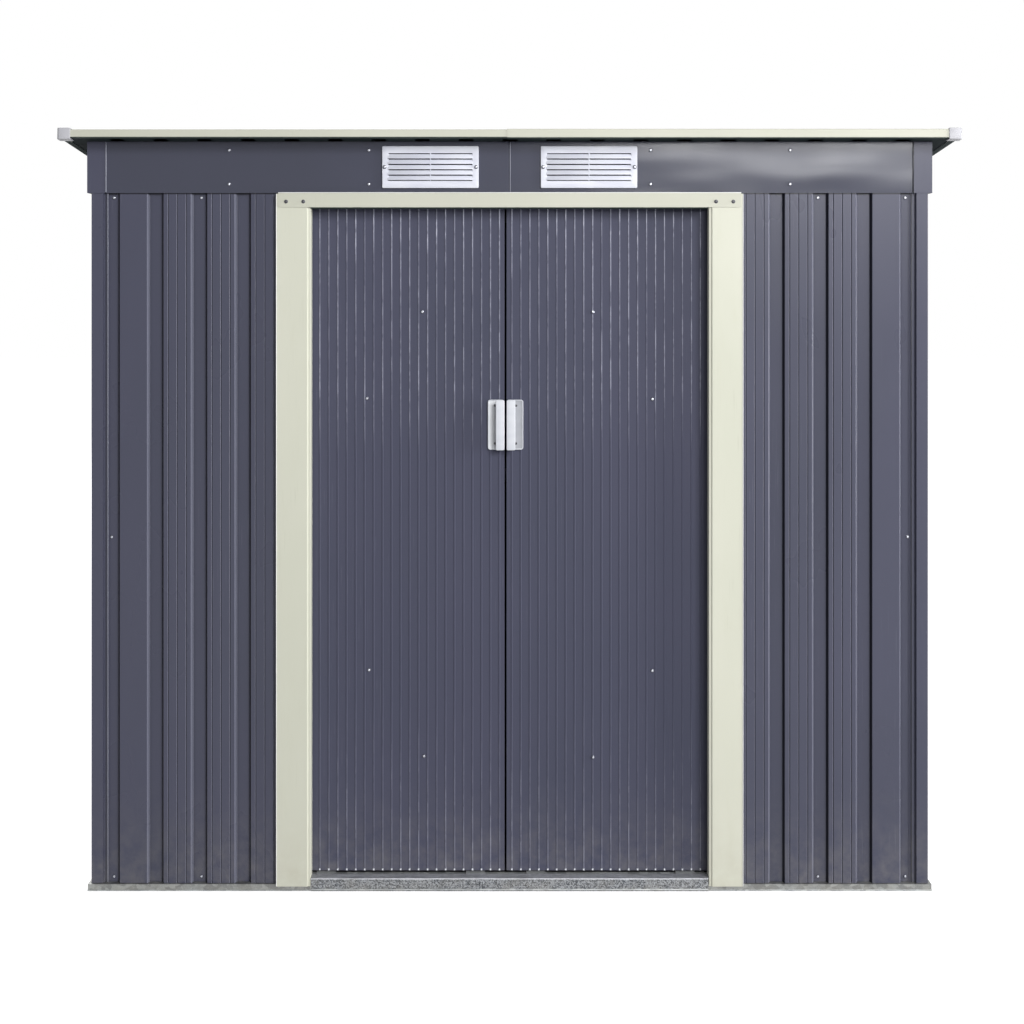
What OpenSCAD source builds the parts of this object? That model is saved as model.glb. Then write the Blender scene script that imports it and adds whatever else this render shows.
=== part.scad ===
// Metal storage shed with a pent roof and a pair of sliding doors.
// The front faces -Y, and the origin lies on the ground at the middle of the roof's outline.

/* [Shed] */
// Width over the corner posts
shed_w = 1996; // [1700:4:2400]
// Depth over the corner posts
shed_d = 1180; // [900:4:1500]
// Height from the ground to the foot of the header band
wall_h = 1664; // [1500:1:1900]
// Height of the gable band at the back wall
eave_h = 20; // [14:1:60]
// Gap between the back wall's sheets and the roof
eave_gap = 4; // [2:0.5:8]
// Fall of the roof from front to back, in degrees
roof_slope = 5; // [2:0.5:9]
// Thickness of the steel sheet
sheet_t = 0.8; // [0.5:0.1:1.2]
// Clearance between faces that seat on each other
seat = 0.3; // [0.1:0.05:0.6]

/* [Ribbed walls] */
// Distance between rib centres, fitted to each wall
rib_pitch = 104; // [80:1:140]
// Width of a rib's flat crest
crest_w = 66; // [40:1:70]
// Depth from crest to valley
rib_depth = 10; // [6:0.5:14]
// Width of a rib's sloping side
rib_run = 4; // [3:0.5:8]
// Distance between the fine grooves in a crest
groove_pitch = 21.5; // [12:0.5:24]
// Width of a groove
groove_w = 3; // [2:0.5:5]
// Depth of a groove
groove_depth = 1.2; // [0.6:0.1:2]
// Radius of the bends in a wall's ribs
wall_bend_r = 2; // [1:0.2:2.6]
// Distance from a corner to the centre of the first rib
first_rib = 100; // [96:1:130]
// Ribs on one sheet of a wall
sheet_ribs = 5; // [3:1:6]

/* [Corner posts and rails] */
// Width of a corner post's flat face
post_leg = 27; // [20:1:30]
// Width of the flange that laps the wall sheet
post_lap = 9; // [6:1:12]
// Height of the base rail's outer step
rail_h = 17; // [12:1:26]
// Distance that the base rail stands out from the wall
rail_out = 7; // [4:1:11]
// Width of the base rail's floor flange
rail_flange = 75; // [60:1:90]
// Height of the angles along the walls
angle_h = 40; // [25:1:60]
// Width of the angles along the walls
angle_w = 22; // [15:1:30]
// Height of the middle braces
brace_z = 842; // [600:1:1100]
// Radius of an anchor hole in the base rail
anchor_r = 5; // [3:0.5:8]
// Distance between the anchor holes along a side
anchor_pitch = 860; // [500:10:900]
// Distance of the anchor holes from the wall's face
anchor_inset = 42; // [32:1:55]
// Gap between the ends of the braces and the corner posts
brace_gap = 12; // [6:1:20]

/* [Doorway] */
// Width between the jambs
doorway_w = 948; // [800:2:1000]
// Width of a jamb from the doorway to the wall
jamb_w = 82; // [60:1:100]
// Depth of a jamb's front from the wall's crests
jamb_out = 12; // [9:1:18]
// Width of the step along a jamb's inner edge
jamb_step = 8; // [4:1:12]
// Height of the lintel
lintel_h = 37; // [25:1:60]
// Distance that the lintel stands short of the jambs' outer edges
lintel_inset = 5; // [0:1:12]
// Height of the sill
sill_h = 32; // [30:1:60]
// Distance that the sill stands back from the jambs
sill_inset = 2; // [1:0.5:4]
// Height of the sill's fold behind its ledge
sill_fold = 16; // [8:1:22]
// Radius of the bends in trims, jambs and sill
bend_r = 2.4; // [1.4:0.2:3]

/* [Sliding doors] */
// Distance that the doors reach past the doorway's sides, on average
door_cover = 26; // [20:1:40]
// Place of the line where the doors meet, from the middle of the shed
meeting_x = -10; // [-14:1:14]
// Gap between the closed doors
door_gap = 5; // [5:0.5:8]
// Distance from the wall's crests back to the face of the doors
door_inset = 30; // [28:1:34]
// Depth of a door
door_t = 25; // [20:1:30]
// Clearance over the sill
door_lift = 5; // [5:0.5:8]
// Clearance in front of the doors
door_clear = 7; // [5:0.5:9]
// Distance that a door reaches up behind the lintel
door_tuck = 17; // [10:1:24]
// Distance between the fine ribs of a door
door_rib_pitch = 21.6; // [16:0.2:30]
// Width of a fine rib
door_rib_w = 5; // [3:0.5:6]
// Height of a fine rib
door_rib_h = 1; // [0.8:0.1:2.5]
// Width of the folded edge beside the fine ribs
door_edge = 12; // [8:1:20]
// Width of the door frame's channels
stile_w = 32; // [24:1:40]
// Width of the diagonal braces
strut_w = 28; // [20:1:36]
// Depth of the diagonal braces
strut_t = 10; // [6:1:14]
// Distance between the ends of a door's two diagonal braces at its outer edge
strut_split = 266; // [160:2:300]
// Slant of the diagonal braces, in degrees
strut_slant = 56.5; // [50:0.5:62]

/* [Track and guides] */
// Height of the track
track_h = 38; // [30:1:40]
// Width of the slot between the track's lips
track_slot = 16; // [14:1:20]
// Gap between the doors and the back of the track
track_gap = 4; // [3:0.5:8]
// Length of a glider
glider_w = 46; // [30:1:60]
// Thickness of a glider's stem
stem_t = 6; // [4:0.5:7]
// Distance from a door's edge to the middle of a glider
glider_inset = 70; // [50:1:100]
// Width that a glider's head rests on each lip
head_rest = 5; // [3:0.5:6]
// Height of a glider's head
head_h = 10; // [6:1:14]
// Depth of a lower guide under the door
guide_h = 24; // [18:1:28]
// Thickness of a guide's wall beside the fin
guide_wall = 4; // [3:0.5:5]
// Play between a guide and the fin
guide_play = 1.2; // [0.8:0.1:2]
// Distance of the fin's top below the sill's top
fin_drop = 4; // [2:0.5:8]
// Width of the fin's foot
fin_foot = 15; // [10:1:20]

/* [Handles] */
// Width of a handle's plate
handle_w = 40; // [34:1:46]
// Height of a handle
handle_h = 120; // [100:1:150]
// Height of the handles' centre above the ground
handle_z = 1109; // [950:1:1250]
// Thickness of the handle's walls
handle_wall = 3; // [2:0.2:4]
// Distance that the grip stands out
handle_out = 24; // [21:1:26]
// Width of the grip
grip_w = 21; // [18:1:23]
// Radius of the plate's corners
plate_r = 6; // [3:0.5:9]
// Radius of the grip's corners
grip_r = 3; // [1:0.5:6]
// Height and width of the raised rim round the plate
plate_rim = 1.5; // [0.8:0.1:2.5]

/* [Header and vents] */
// Distance that a gable band stands out from the side wall
gable_out = 10; // [6:1:14]
// Width of the gable band's return on the front
gable_return = 45; // [30:1:60]
// Width of the flanges that carry the roof sheets
roof_seat_w = 15; // [10:1:20]
// Width of the tongue that joins the halves of the header
tongue_w = 15; // [8:1:25]
// Distance that the header stands short of the corners
header_inset = 6; // [4:0.5:8]
// Distance from the middle to the centre of a vent
vent_x = 189; // [150:1:300]
// Width of a vent
vent_w = 230; // [180:2:260]
// Height of a vent
vent_h = 100; // [80:1:104]
// Depth of a vent
vent_t = 8; // [6:0.5:10]
// Width of a vent's rim at its ends
vent_rim = 15; // [12:1:20]
// Width of a vent's rim over and under the blades
vent_brow = 17; // [12:1:20]
// Distance between the louvre blades
louvre_pitch = 12.8; // [8:0.2:16]
// Height of the slot that shows between two blades
louvre_gap = 2; // [1:0.25:3]

/* [Roof] */
// Overhang in front of the wall
overhang_front = 60; // [40:1:90]
// Overhang behind the wall
overhang_back = 60; // [40:1:90]
// Overhang at the sides
overhang_side = 67; // [50:1:90]
// Height of a roof rib
roof_rib_h = 16; // [10:0.5:20]
// Width of a roof rib's crest
roof_crest_w = 26; // [16:1:36]
// Width of a roof rib's sloping side
roof_rib_run = 5; // [3:0.5:8]
// Radius of the bends in the roof's ribs
roof_bend_r = 3; // [1.4:0.2:3.4]
// Distance between roof ribs
roof_rib_pitch = 104; // [80:1:140]
// Roof ribs across one sheet
roof_sheet_ribs = 5; // [4:1:6]
// Distance that a lapped crest stops short of the crest's edge
crest_step = 3; // [2:0.5:6]
// Gap between the edges of the roof sheets and the trim
roof_edge_gap = 1; // [0.5:0.25:3]
// Length by which one trim laps the next
trim_lap = 20; // [10:1:40]
// Width of the trim's upper lip
trim_lip = 26; // [20:1:34]
// Width of the trim's lower lip
trim_foot = 16; // [10:1:22]
// Place of the joint in the front and back trims, from the middle of the shed
trim_joint_x = -6; // [-60:1:60]
// Size of a corner cap
cap_size = 31; // [28:1:40]
// Radius of a corner cap's upright edge
cap_r = 6; // [3:0.5:10]
// Thickness of a corner cap's walls
cap_wall = 2; // [1.4:0.2:2.6]
// Height of the beam under the roof
beam_h = 40; // [25:1:60]
// Width of the beam under the roof
beam_w = 25; // [15:1:40]

/* [Hidden] */
$fn = 48;

SLATE = [0.32, 0.32, 0.38];
CREAM = [0.84, 0.85, 0.77];
ZINC = [0.62, 0.64, 0.66];
WHITE = [0.9, 0.89, 0.93];

lap = sheet_t + seat;
half_w = shed_w / 2;
half_d = shed_d / 2;
roof_w = shed_w + 2 * overhang_side;
roof_fall = tan(roof_slope);
header_h = eave_h + shed_d * roof_fall;
wall_top = wall_h + eave_h - eave_gap;
wall_foot = rail_h + seat;
wall_inner = rib_depth + lap;
inside_w = half_w - wall_inner - lap;
jamb_x = doorway_w / 2 + jamb_w;
jamb_front = half_d + jamb_out;
upstand_h = sill_h - lap;

door_face = half_d - door_inset;
door_back = door_face - door_t;
door_mid = (door_face + door_back) / 2;
door_foot = sill_h + door_lift;
door_top = wall_h - lintel_h + door_tuck;
door_w = doorway_w / 2 + door_cover;
return_back = door_face + door_clear;
track_z = wall_h - 2;
track_back = door_back - track_gap;
fin_y = door_mid - stem_t / 2;
header_front = half_d + lap;

// Unit vector along v.
function unit(v) = v / norm(v);
// Normal on the left of the way from a to b.
function left_of(a, b) = let (d = unit(b - a)) [-d[1], d[0]];
// Line p moved to its left by t, with mitred corners.
function beside(p, t) = [
  for (i = [0 : len(p) - 1])
    let (last = len(p) - 1, a = left_of(p[max(i - 1, 0)], p[max(i, 1)]),
         b = left_of(p[min(i, last - 1)], p[min(i + 1, last)]))
      p[i] + (a + b) * t / (1 + a * b)
];
// Section of a sheet whose outer face is the line p, with the metal on its left.
function sheet(p, t = sheet_t) = concat(p, [for (i = [len(p) - 1 : -1 : 0]) beside(p, t)[i]]);
// Points of a round bend of radius r at b, between a and c.
function bend(a, b, c, r, steps = 3) =
  let (u = unit(a - b), v = unit(c - b), half = acos(u * v) / 2, turn = 180 - 2 * half,
       centre = b + unit(u + v) * r / sin(half), start = unit(b + u * r / tan(half) - centre),
       end = unit(b + v * r / tan(half) - centre))
    [for (k = [0 : steps]) centre + r * (sin(turn * (1 - k / steps)) * start + sin(turn * k / steps) * end) / sin(turn)];
// Line p with every inner corner bent to radius r.
function bent(p, r = bend_r) = concat(
  [p[0]],
  [for (i = [1 : len(p) - 2]) each bend(p[i - 1], p[i], p[i + 1], r)],
  [p[len(p) - 1]]
);
// Line p with its corners bent to radius r, apart from those of fine grooves.
function softened(p, r) = concat(
  [p[0]],
  [for (i = [1 : len(p) - 2])
    let (short = min(norm(p[i] - p[i - 1]), norm(p[i + 1] - p[i])))
      each short > 2 * r ? bend(p[i - 1], p[i], p[i + 1], r) : [p[i]]],
  [p[len(p) - 1]]
);
// Places of ribs between two centres, at about the wanted pitch.
function rib_places(from, to, pitch) =
  let (n = max(1, round((to - from) / pitch)))
    [for (i = [0 : n]) from + (to - from) * i / n];
// Part of a list, from index a up to and without index b.
function slice(list, a, b) = [for (i = [a : 1 : min(b, len(list)) - 1]) list[i]];
// Height of the roof's underside at y.
function roof_z(y) = wall_h + header_h - (y + half_d) * roof_fall;
// Height of what seats under the roof at y.
function under_roof(y) = roof_z(y) - 2 * seat;

// Section along X: a runs along Y and b along Z.
module along_x(from, to) {
  translate([from, 0, 0])
    rotate([90, 0, 90])
      linear_extrude(to - from)
        children();
}

// Section along Y: a runs along X and b along Z.
module along_y(from, to) {
  translate([0, to, 0])
    rotate([90, 0, 0])
      linear_extrude(to - from)
        children();
}

// Frames in which a wall's crests lie at y = 0 and the inside is at +Y.
module at_front() {
  translate([0, -half_d, 0]) children();
}

module at_back() {
  translate([0, half_d, 0]) rotate(180) children();
}

module at_left() {
  translate([-half_w, 0, 0]) rotate(-90) children();
}

module at_right() {
  translate([half_w, 0, 0]) rotate(90) children();
}

module flip(yes) {
  if (yes) mirror([1, 0, 0]) children();
  else children();
}

// Frame of the roof: X across, Y down the slope from the front edge, Z square to the sheets.
module on_roof() {
  front = -half_d - overhang_front;
  translate([0, front, roof_z(front)])
    rotate([-roof_slope, 0, 0])
      children();
}
roof_len = (shed_d + overhang_front + overhang_back) / cos(roof_slope);

// Base rails and their anchor holes.
module base_rail(length, anchors) {
  step = rib_depth + lap;
  section = sheet([
    [rail_flange - rail_out, 0], [-rail_out, 0], [-rail_out, rail_h],
    [step, rail_h], [step, upstand_h]
  ], -sheet_t);
  half = length / 2 + rail_out - seat;
  reach = rail_flange + 1;
  difference() {
    intersection() {
      along_x(-half - 1, half + 1) polygon(section);
      translate([0, -rail_out, -1])
        linear_extrude(upstand_h + 2)
          polygon([[-half - 1, -1], [half + 1, -1], [half - reach, reach], [reach - half, reach]]);
    }
    if (anchors)
      for (side = [-1, 1])
        translate([side * anchor_pitch / 2, anchor_inset, -1])
          cylinder(h = sheet_t + 2, r = anchor_r);
  }
}

module base_rail_front() { color(ZINC) at_front() base_rail(shed_w, false); }
module base_rail_back() { color(ZINC) at_back() base_rail(shed_w, false); }
module base_rail_left() { color(ZINC) at_left() base_rail(shed_d, true); }
module base_rail_right() { color(ZINC) at_right() base_rail(shed_d, true); }

// Corner posts: a folded angle whose stepped flanges lap the wall sheets.
module corner_post() {
  lap_y = rib_depth - lap;
  foot = post_leg + rib_run - 1;
  end = foot + post_lap;
  section = sheet([
    [end, lap_y], [foot, lap_y], [post_leg, 0], [0, 0],
    [0, post_leg], [lap_y, foot], [lap_y, end]
  ], -sheet_t);
  color(SLATE)
    translate([-half_w, -half_d, wall_foot])
      linear_extrude(wall_top - wall_foot)
        polygon(section);
}

module corner_post_front_left() { corner_post(); }
module corner_post_front_right() { mirror([1, 0, 0]) corner_post(); }
module corner_post_back_left() { mirror([0, 1, 0]) corner_post(); }
module corner_post_back_right() { rotate(180) corner_post(); }

// Fine groove across a crest.
function groove(x) = [[x - groove_w / 2, 0], [x, groove_depth], [x + groove_w / 2, 0]];

// Rib with its grooves, rising from depth d.
function rib(x, d, fine) = concat(
  [[x - crest_w / 2 - rib_run, d], [x - crest_w / 2, 0]],
  fine ? [for (k = [-1 : 1]) each groove(x + k * groove_pitch)] : [],
  [[x + crest_w / 2, 0], [x + crest_w / 2 + rib_run, rib_depth]]
);

// Whether x is in a list.
function listed(x, list) = len([for (v = list) if (abs(v - x) < 1) v]) > 0;

// Roll-formed wall sheet with ribs at the given places, from one end to the other.
module wall_sheet(places, from, to, lapped, smooth) {
  start = lapped ? rib_depth - lap : rib_depth;
  outer = concat(
    [[from, start]],
    [for (i = [0 : len(places) - 1])
      each rib(places[i], i == 0 ? start : rib_depth, !listed(places[i], smooth))],
    [[to, rib_depth]]
  );
  translate([0, 0, wall_foot])
    linear_extrude(wall_top - wall_foot)
      polygon(sheet(softened(outer, wall_bend_r)));
}

// Wall of lapped sheets between its end ribs. The ribs beside the corners are smooth.
module ribbed_wall(length) {
  edge = length / 2 - first_rib;
  places = rib_places(-edge, edge, rib_pitch);
  pitch = places[1] - places[0];
  start = length / 2 - post_leg - rib_run;
  sheets = ceil(len(places) / sheet_ribs);
  for (k = [0 : sheets - 1]) {
    mine = slice(places, k * sheet_ribs, (k + 1) * sheet_ribs);
    first = k == 0 ? -start : mine[0] - pitch / 2 - rib_run / 2;
    last = k == sheets - 1 ? start : mine[len(mine) - 1] + pitch / 2 + rib_run / 2;
    wall_sheet(mine, first, last, k > 0, [-edge, edge]);
  }
}

module front_wall(right) {
  color(SLATE)
    at_front()
      flip(right) {
        near = half_w - first_rib;
        places = rib_places(-near, -jamb_x - crest_w / 2 + rib_run, rib_pitch);
        wall_sheet(places, post_leg + rib_run - half_w, rib_run + 18 - jamb_x, false, [-near]);
      }
}

module front_wall_left() { front_wall(false); }
module front_wall_right() { front_wall(true); }
module left_wall() { color(SLATE) at_left() ribbed_wall(shed_d); }
module right_wall() { color(SLATE) at_right() ribbed_wall(shed_d); }
module back_wall() { color(SLATE) at_back() ribbed_wall(shed_w); }

// Folded angle behind a wall, with its flange at the foot or at the top.
module angle(from, to, z, flange_up) {
  high = z + angle_h;
  section = flange_up
    ? sheet([[wall_inner, z], [wall_inner, high], [wall_inner + angle_w, high]], -sheet_t)
    : sheet([[wall_inner, high], [wall_inner, z], [wall_inner + angle_w, z]], sheet_t);
  along_x(from, to) polygon(section);
}

module wall_braces() {
  end = post_leg + rib_run + post_lap + brace_gap;
  front = track_back - door_clear;
  color(ZINC) {
    at_back() angle(end - half_w, half_w - end, brace_z, false);
    at_left() angle(end - half_d, front, brace_z, false);
    at_right() angle(-front, half_d - end, brace_z, false);
  }
}

module top_rails() {
  end = wall_inner + angle_w + lap;
  front = track_back - 2 * lap;
  z = wall_top - angle_h;
  color(ZINC) {
    at_back() angle(-inside_w, inside_w, z, true);
    at_left() angle(end - half_d, front, z, true);
    at_right() angle(-front, half_d - end, z, true);
  }
}

// Track over the doors: an upturned channel whose lips carry the gliders.
module door_track() {
  front = half_d - wall_inner;
  top = track_z + track_h;
  section = sheet([
    [-door_mid - track_slot / 2, track_z], [-front, track_z], [-front, top],
    [-track_back, top], [-track_back, track_z], [-door_mid + track_slot / 2, track_z]
  ], -sheet_t);
  color(ZINC)
    along_x(-inside_w, inside_w)
      polygon(section);
}

// Upright fin that the doors' lower guides straddle.
module door_guide_rail() {
  section = sheet([[fin_foot - fin_y, lap], [-fin_y, lap], [-fin_y, sill_h - fin_drop]], -sheet_t);
  color(ZINC)
    along_x(-inside_w, inside_w)
      polygon(section);
}

// Sill over the base rail in the doorway.
module door_sill() {
  front = jamb_front - sill_inset;
  back = return_back - sheet_t;
  end = doorway_w / 2 - lap;
  section = sheet(bent([[-front, lap], [-front, sill_h], [-back, sill_h], [-back, sill_h - sill_fold]]), -sheet_t);
  color(ZINC)
    along_x(-end, end)
      polygon(section);
}

// Jamb with a stepped inner edge and a return into the doorway.
module door_jamb() {
  section = sheet(bent([
    [-jamb_x, -half_d - seat], [-jamb_x, -jamb_front], [-doorway_w / 2 - jamb_step, -jamb_front],
    [-doorway_w / 2 - jamb_step + 2, -jamb_front + 3], [-doorway_w / 2, -jamb_front + 3],
    [-doorway_w / 2, -return_back]
  ], bend_r / 2 + 0.5), sheet_t);
  color(CREAM)
    difference() {
      translate([0, 0, rail_h - 4])
        linear_extrude(track_z - seat - rail_h + 4)
          polygon(section);
      translate([-jamb_x - 1, -jamb_front + lap, 0])
        cube([jamb_w / 2, jamb_out + 1, rail_h + seat]);
      translate([-jamb_x + jamb_w / 2, -jamb_front + 3 + lap, 0])
        cube([jamb_w, jamb_out + door_inset, sill_h]);
    }
}

module door_jamb_left() { door_jamb(); }
module door_jamb_right() { mirror([1, 0, 0]) door_jamb(); }

// Lintel over the jambs, with a return between them.
module door_lintel() {
  end = jamb_x - lintel_inset;
  inner = doorway_w / 2 - lap;
  front = jamb_front + lap + seat;
  foot = wall_h - lintel_h;
  top = wall_h + 1.2;
  upper = [[-front, top], [-header_front - seat, top]];
  color(CREAM) {
    along_x(-end, end)
      polygon(sheet(bent(concat([[-front, foot + bend_r]], upper)), -sheet_t));
    along_x(-inner, inner)
      polygon(sheet(bent(concat([[-return_back, foot], [-front, foot]], upper)), -sheet_t));
  }
}

// Roof line cut for the header and gable bands.
module below_roof() {
  front = half_d + overhang_front;
  side = half_w + overhang_side;
  intersection() {
    children();
    along_x(-side, side)
      polygon([[-front, 0], [front, 0], [front, under_roof(front)], [-front, under_roof(-front)]]);
  }
}

// Flange that follows the roof, from one X to another.
module roof_flange(x_from, x_to, y_from, y_to) {
  along_x(x_from, x_to)
    polygon([
      [y_from, under_roof(y_from) - sheet_t], [y_to, under_roof(y_to) - sheet_t],
      [y_to, under_roof(y_to)], [y_from, under_roof(y_from)]
    ]);
}

// Half of the smooth header band. The tongue lies behind the other half.
module header(right) {
  end = half_w - header_inset;
  plate = right
    ? [[seat, -header_front], [end, -header_front]]
    : [[-end, -header_front], [-4 * lap, -header_front], [-lap, lap - header_front],
       [tongue_w, lap - header_front]];
  side = right ? 1 : -1;
  color(SLATE)
    difference() {
      union() {
        below_roof()
          translate([0, 0, wall_h])
            linear_extrude(2 * header_h)
              polygon(sheet(plate));
        roof_flange(right ? tongue_w + lap : -end, right ? end : -4 * lap,
                    -header_front, roof_seat_w - header_front);
      }
      translate([side * vent_x - vent_w / 2 + vent_rim, -header_front - 5, vent_z - vent_h / 2 + vent_brow])
        cube([vent_w - 2 * vent_rim, 10, vent_h - 2 * vent_brow]);
    }
}
vent_z = wall_h + header_h / 2;

module header_left() { header(false); }
module header_right() { header(true); }

// Gable band: a tapering plate with a return round the front corner.
module gable() {
  x = half_w + gable_out;
  front = header_front + lap;
  color(SLATE) {
    below_roof()
      translate([0, 0, wall_h])
        linear_extrude(2 * header_h)
          polygon(sheet([[gable_return - x, -front], [-x, -front], [-x, half_d + seat]], -sheet_t));
    translate([-x, -front, wall_h])
      cube([gable_out - seat, half_d + front, sheet_t]);
    roof_flange(-x, roof_seat_w - x, -front, half_d);
  }
}

module gable_left() { gable(); }
module gable_right() { mirror([1, 0, 0]) gable(); }

// Louvred vent: a rimmed frame with sloping blades and a mullion.
module vent(side) {
  back = header_front + seat;
  frame_t = vent_t / 2;
  inner_w = vent_w - 2 * vent_rim;
  inner_h = vent_h - 2 * vent_brow;
  blades = max(1, round((inner_h - louvre_gap) / louvre_pitch));
  rise = (inner_h - louvre_gap) / blades - louvre_gap;
  blade = [[-vent_t, 0], [1.4 - vent_t, 0], [-0.4, rise], [-1.8, rise]];
  color(WHITE)
    translate([side * vent_x, -back, vent_z]) {
      difference() {
        translate([-vent_w / 2, -frame_t, -vent_h / 2])
          cube([vent_w, frame_t, vent_h]);
        translate([-inner_w / 2, -vent_t, -inner_h / 2])
          cube([inner_w, 2 * vent_t, inner_h]);
      }
      translate([-2, -frame_t, -inner_h / 2 - 1])
        cube([4, frame_t, inner_h + 2]);
      for (k = [0 : blades - 1])
        translate([0, 0, louvre_gap - inner_h / 2 + k * (rise + louvre_gap)])
          along_x(-inner_w / 2 - 1, inner_w / 2 + 1)
            polygon(blade);
    }
}

module vent_left() { vent(-1); }
module vent_right() { vent(1); }

// Roof sheets.
roof_sheets = 4;
trim_at = cap_wall + seat + lap;
trim_foot_w = -lap;
trim_top_w = roof_rib_h + 2 * lap + sheet_t;

// Points of a roof rib seen from below, from its left foot to its right foot.
function roof_rib(x) = [
  [x - roof_crest_w / 2 - roof_rib_run, 0], [x - roof_crest_w / 2, roof_rib_h],
  [x + roof_crest_w / 2, roof_rib_h], [x + roof_crest_w / 2 + roof_rib_run, 0]
];

// Roof sheet k of four, counted from the left. Each laps the crest of the one before.
module roof_panel(k) {
  inset = trim_at + sheet_t + roof_edge_gap;
  edge = roof_w / 2 - inset;
  first = (k - roof_sheets / 2) * roof_sheet_ribs;
  last = first + roof_sheet_ribs;
  outer_ribs = floor((edge - roof_rib_pitch / 2) / roof_rib_pitch);
  from = k == 0 ? -outer_ribs : first + 1;
  to = k == roof_sheets - 1 ? outer_ribs : last - 1;
  x0 = first * roof_rib_pitch;
  x1 = last * roof_rib_pitch;
  left_end = k == 0
    ? [[-edge, 0]]
    : [[x0 - roof_crest_w / 2 + crest_step, roof_rib_h + lap], [x0 + roof_crest_w / 2 + lap, roof_rib_h + lap],
       [x0 + roof_crest_w / 2 + roof_rib_run + lap, 0]];
  right_end = k == roof_sheets - 1
    ? [[edge, 0]]
    : [[x1 - roof_crest_w / 2 - roof_rib_run, 0], [x1 - roof_crest_w / 2, roof_rib_h],
       [x1 + roof_crest_w / 2 - crest_step, roof_rib_h]];
  under = concat(left_end, [for (i = [from : 1 : to]) each roof_rib(i * roof_rib_pitch)], right_end);
  color(SLATE)
    on_roof()
      along_y(inset, roof_len - inset)
        polygon(sheet(softened(under, roof_bend_r)));
}

module roof_panel_1() { roof_panel(0); }
module roof_panel_2() { roof_panel(1); }
module roof_panel_3() { roof_panel(2); }
module roof_panel_4() { roof_panel(3); }

// Beam across the shed between the gable bands.
module roof_beam() {
  end = half_w + gable_out - lap;
  y = (overhang_front + half_d) / cos(roof_slope);
  top = -sheet_t - 3 * seat;
  color(ZINC)
    on_roof()
      along_x(-end, end)
        polygon(sheet([
          [y + beam_w / 2, top], [y - beam_w / 2, top],
          [y - beam_w / 2, top - beam_h], [y + beam_w / 2, top - beam_h]
        ]));
}

// Section of the roof trim, grown by an amount to lap another length.
module trim_section(grow) {
  a = trim_at - grow;
  low = trim_foot_w - grow;
  high = trim_top_w + grow;
  polygon(sheet(bent([[a + trim_lip, high], [a, high], [a, low], [a + trim_foot, low]])));
}

// Trim along an eave, in two lengths: the right one laps the left.
module eave_trim(joint) {
  end = roof_w / 2 - trim_at;
  along_x(-end, joint + trim_lap) trim_section(0);
  along_x(joint, end) trim_section(lap);
}

module roof_trim_front() { color(CREAM) on_roof() eave_trim(trim_joint_x); }
module roof_trim_back() {
  color(CREAM)
    on_roof()
      translate([0, roof_len, 0])
        rotate(180)
          eave_trim(-trim_joint_x);
}

module roof_trim_side(right) {
  inset = trim_at + trim_lip + lap;
  color(CREAM)
    on_roof()
      flip(right)
        translate([-roof_w / 2, 0, 0])
          rotate(-90)
            along_x(inset - roof_len, -inset)
              trim_section(0);
}

module roof_trim_left() { roof_trim_side(false); }
module roof_trim_right() { roof_trim_side(true); }

// Square with one round corner at the origin.
module cap_outline(size, r) {
  translate([r, 0]) square([size - r, size]);
  translate([0, r]) square([size, size - r]);
  translate([r, r]) circle(r);
}

// Hollow cap over the meeting ends of two trims, the larger of which is grown by an amount.
module corner_cap(grow) {
  low = trim_foot_w - lap - seat;
  high = trim_top_w + lap + seat;
  slack = lap - grow;
  difference() {
    translate([0, 0, low - cap_wall])
      linear_extrude(high - low + 2 * cap_wall)
        cap_outline(cap_size, cap_r);
    translate([cap_wall + slack, cap_wall + slack, low + slack])
      cube([cap_size, cap_size, high - low - 2 * slack]);
  }
}

module roof_corner_caps() {
  color(WHITE)
    on_roof()
      for (right = [false, true], back = [false, true])
        translate([0, back ? roof_len : 0, 0])
          mirror([0, back ? 1 : 0, 0])
            flip(right)
              translate([-roof_w / 2, 0, 0])
                corner_cap(right != back ? lap : 0);
}

// Doors are drawn with the meeting edge at x = 0 and the door at -X, and the right one is mirrored.
module at_door(right) {
  translate([meeting_x + (right ? 1 : -1) * door_gap / 2, 0, 0])
    flip(right)
      children();
}

panel_face = door_face - door_rib_h;

// Door panel with fine ribs and folded edges.
module door_panel(right) {
  n = floor((door_w - 2 * door_edge) / door_rib_pitch);
  fold = door_t / 2 - panel_face;
  line = concat(
    [[-door_w, fold], [-door_w, -panel_face]],
    [for (i = [0 : n]) let (x = -door_w / 2 + (i - n / 2) * door_rib_pitch)
      each [[x - door_rib_w / 2, -panel_face], [x - door_rib_w / 8, -door_face],
            [x + door_rib_w / 8, -door_face], [x + door_rib_w / 2, -panel_face]]],
    [[0, -panel_face], [0, fold]]
  );
  color(SLATE)
    at_door(right)
      translate([0, 0, door_foot])
        linear_extrude(door_top - door_foot)
          polygon(sheet(line));
}

// Frame of channels behind the panel, with two diagonal braces.
module door_frame(right) {
  deep = panel_face - lap - door_back;
  half_x = door_w / 2 - lap;
  half_z = (door_top - door_foot) / 2;
  inner_x = half_x - stile_w - seat;
  stile = [[stile_w - half_x, 0], [-half_x, 0], [-half_x, -deep], [stile_w - half_x, -deep]];
  rail = [[0, stile_w - half_z], [0, -half_z], [-deep, -half_z], [-deep, stile_w - half_z]];
  color(ZINC)
    at_door(right)
      translate([-door_w / 2, -door_back, door_foot + half_z])
        for (end = [0, 1]) {
          mirror([end, 0, 0])
            translate([0, 0, -half_z])
              linear_extrude(2 * half_z)
                polygon(sheet(stile));
          mirror([0, 0, end])
            along_x(-inner_x, inner_x)
              polygon(sheet(rail, -sheet_t));
          mirror([0, 0, end])
            translate([0, -deep, 0])
              door_strut(inner_x, half_z - stile_w - seat);
        }
}

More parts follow.
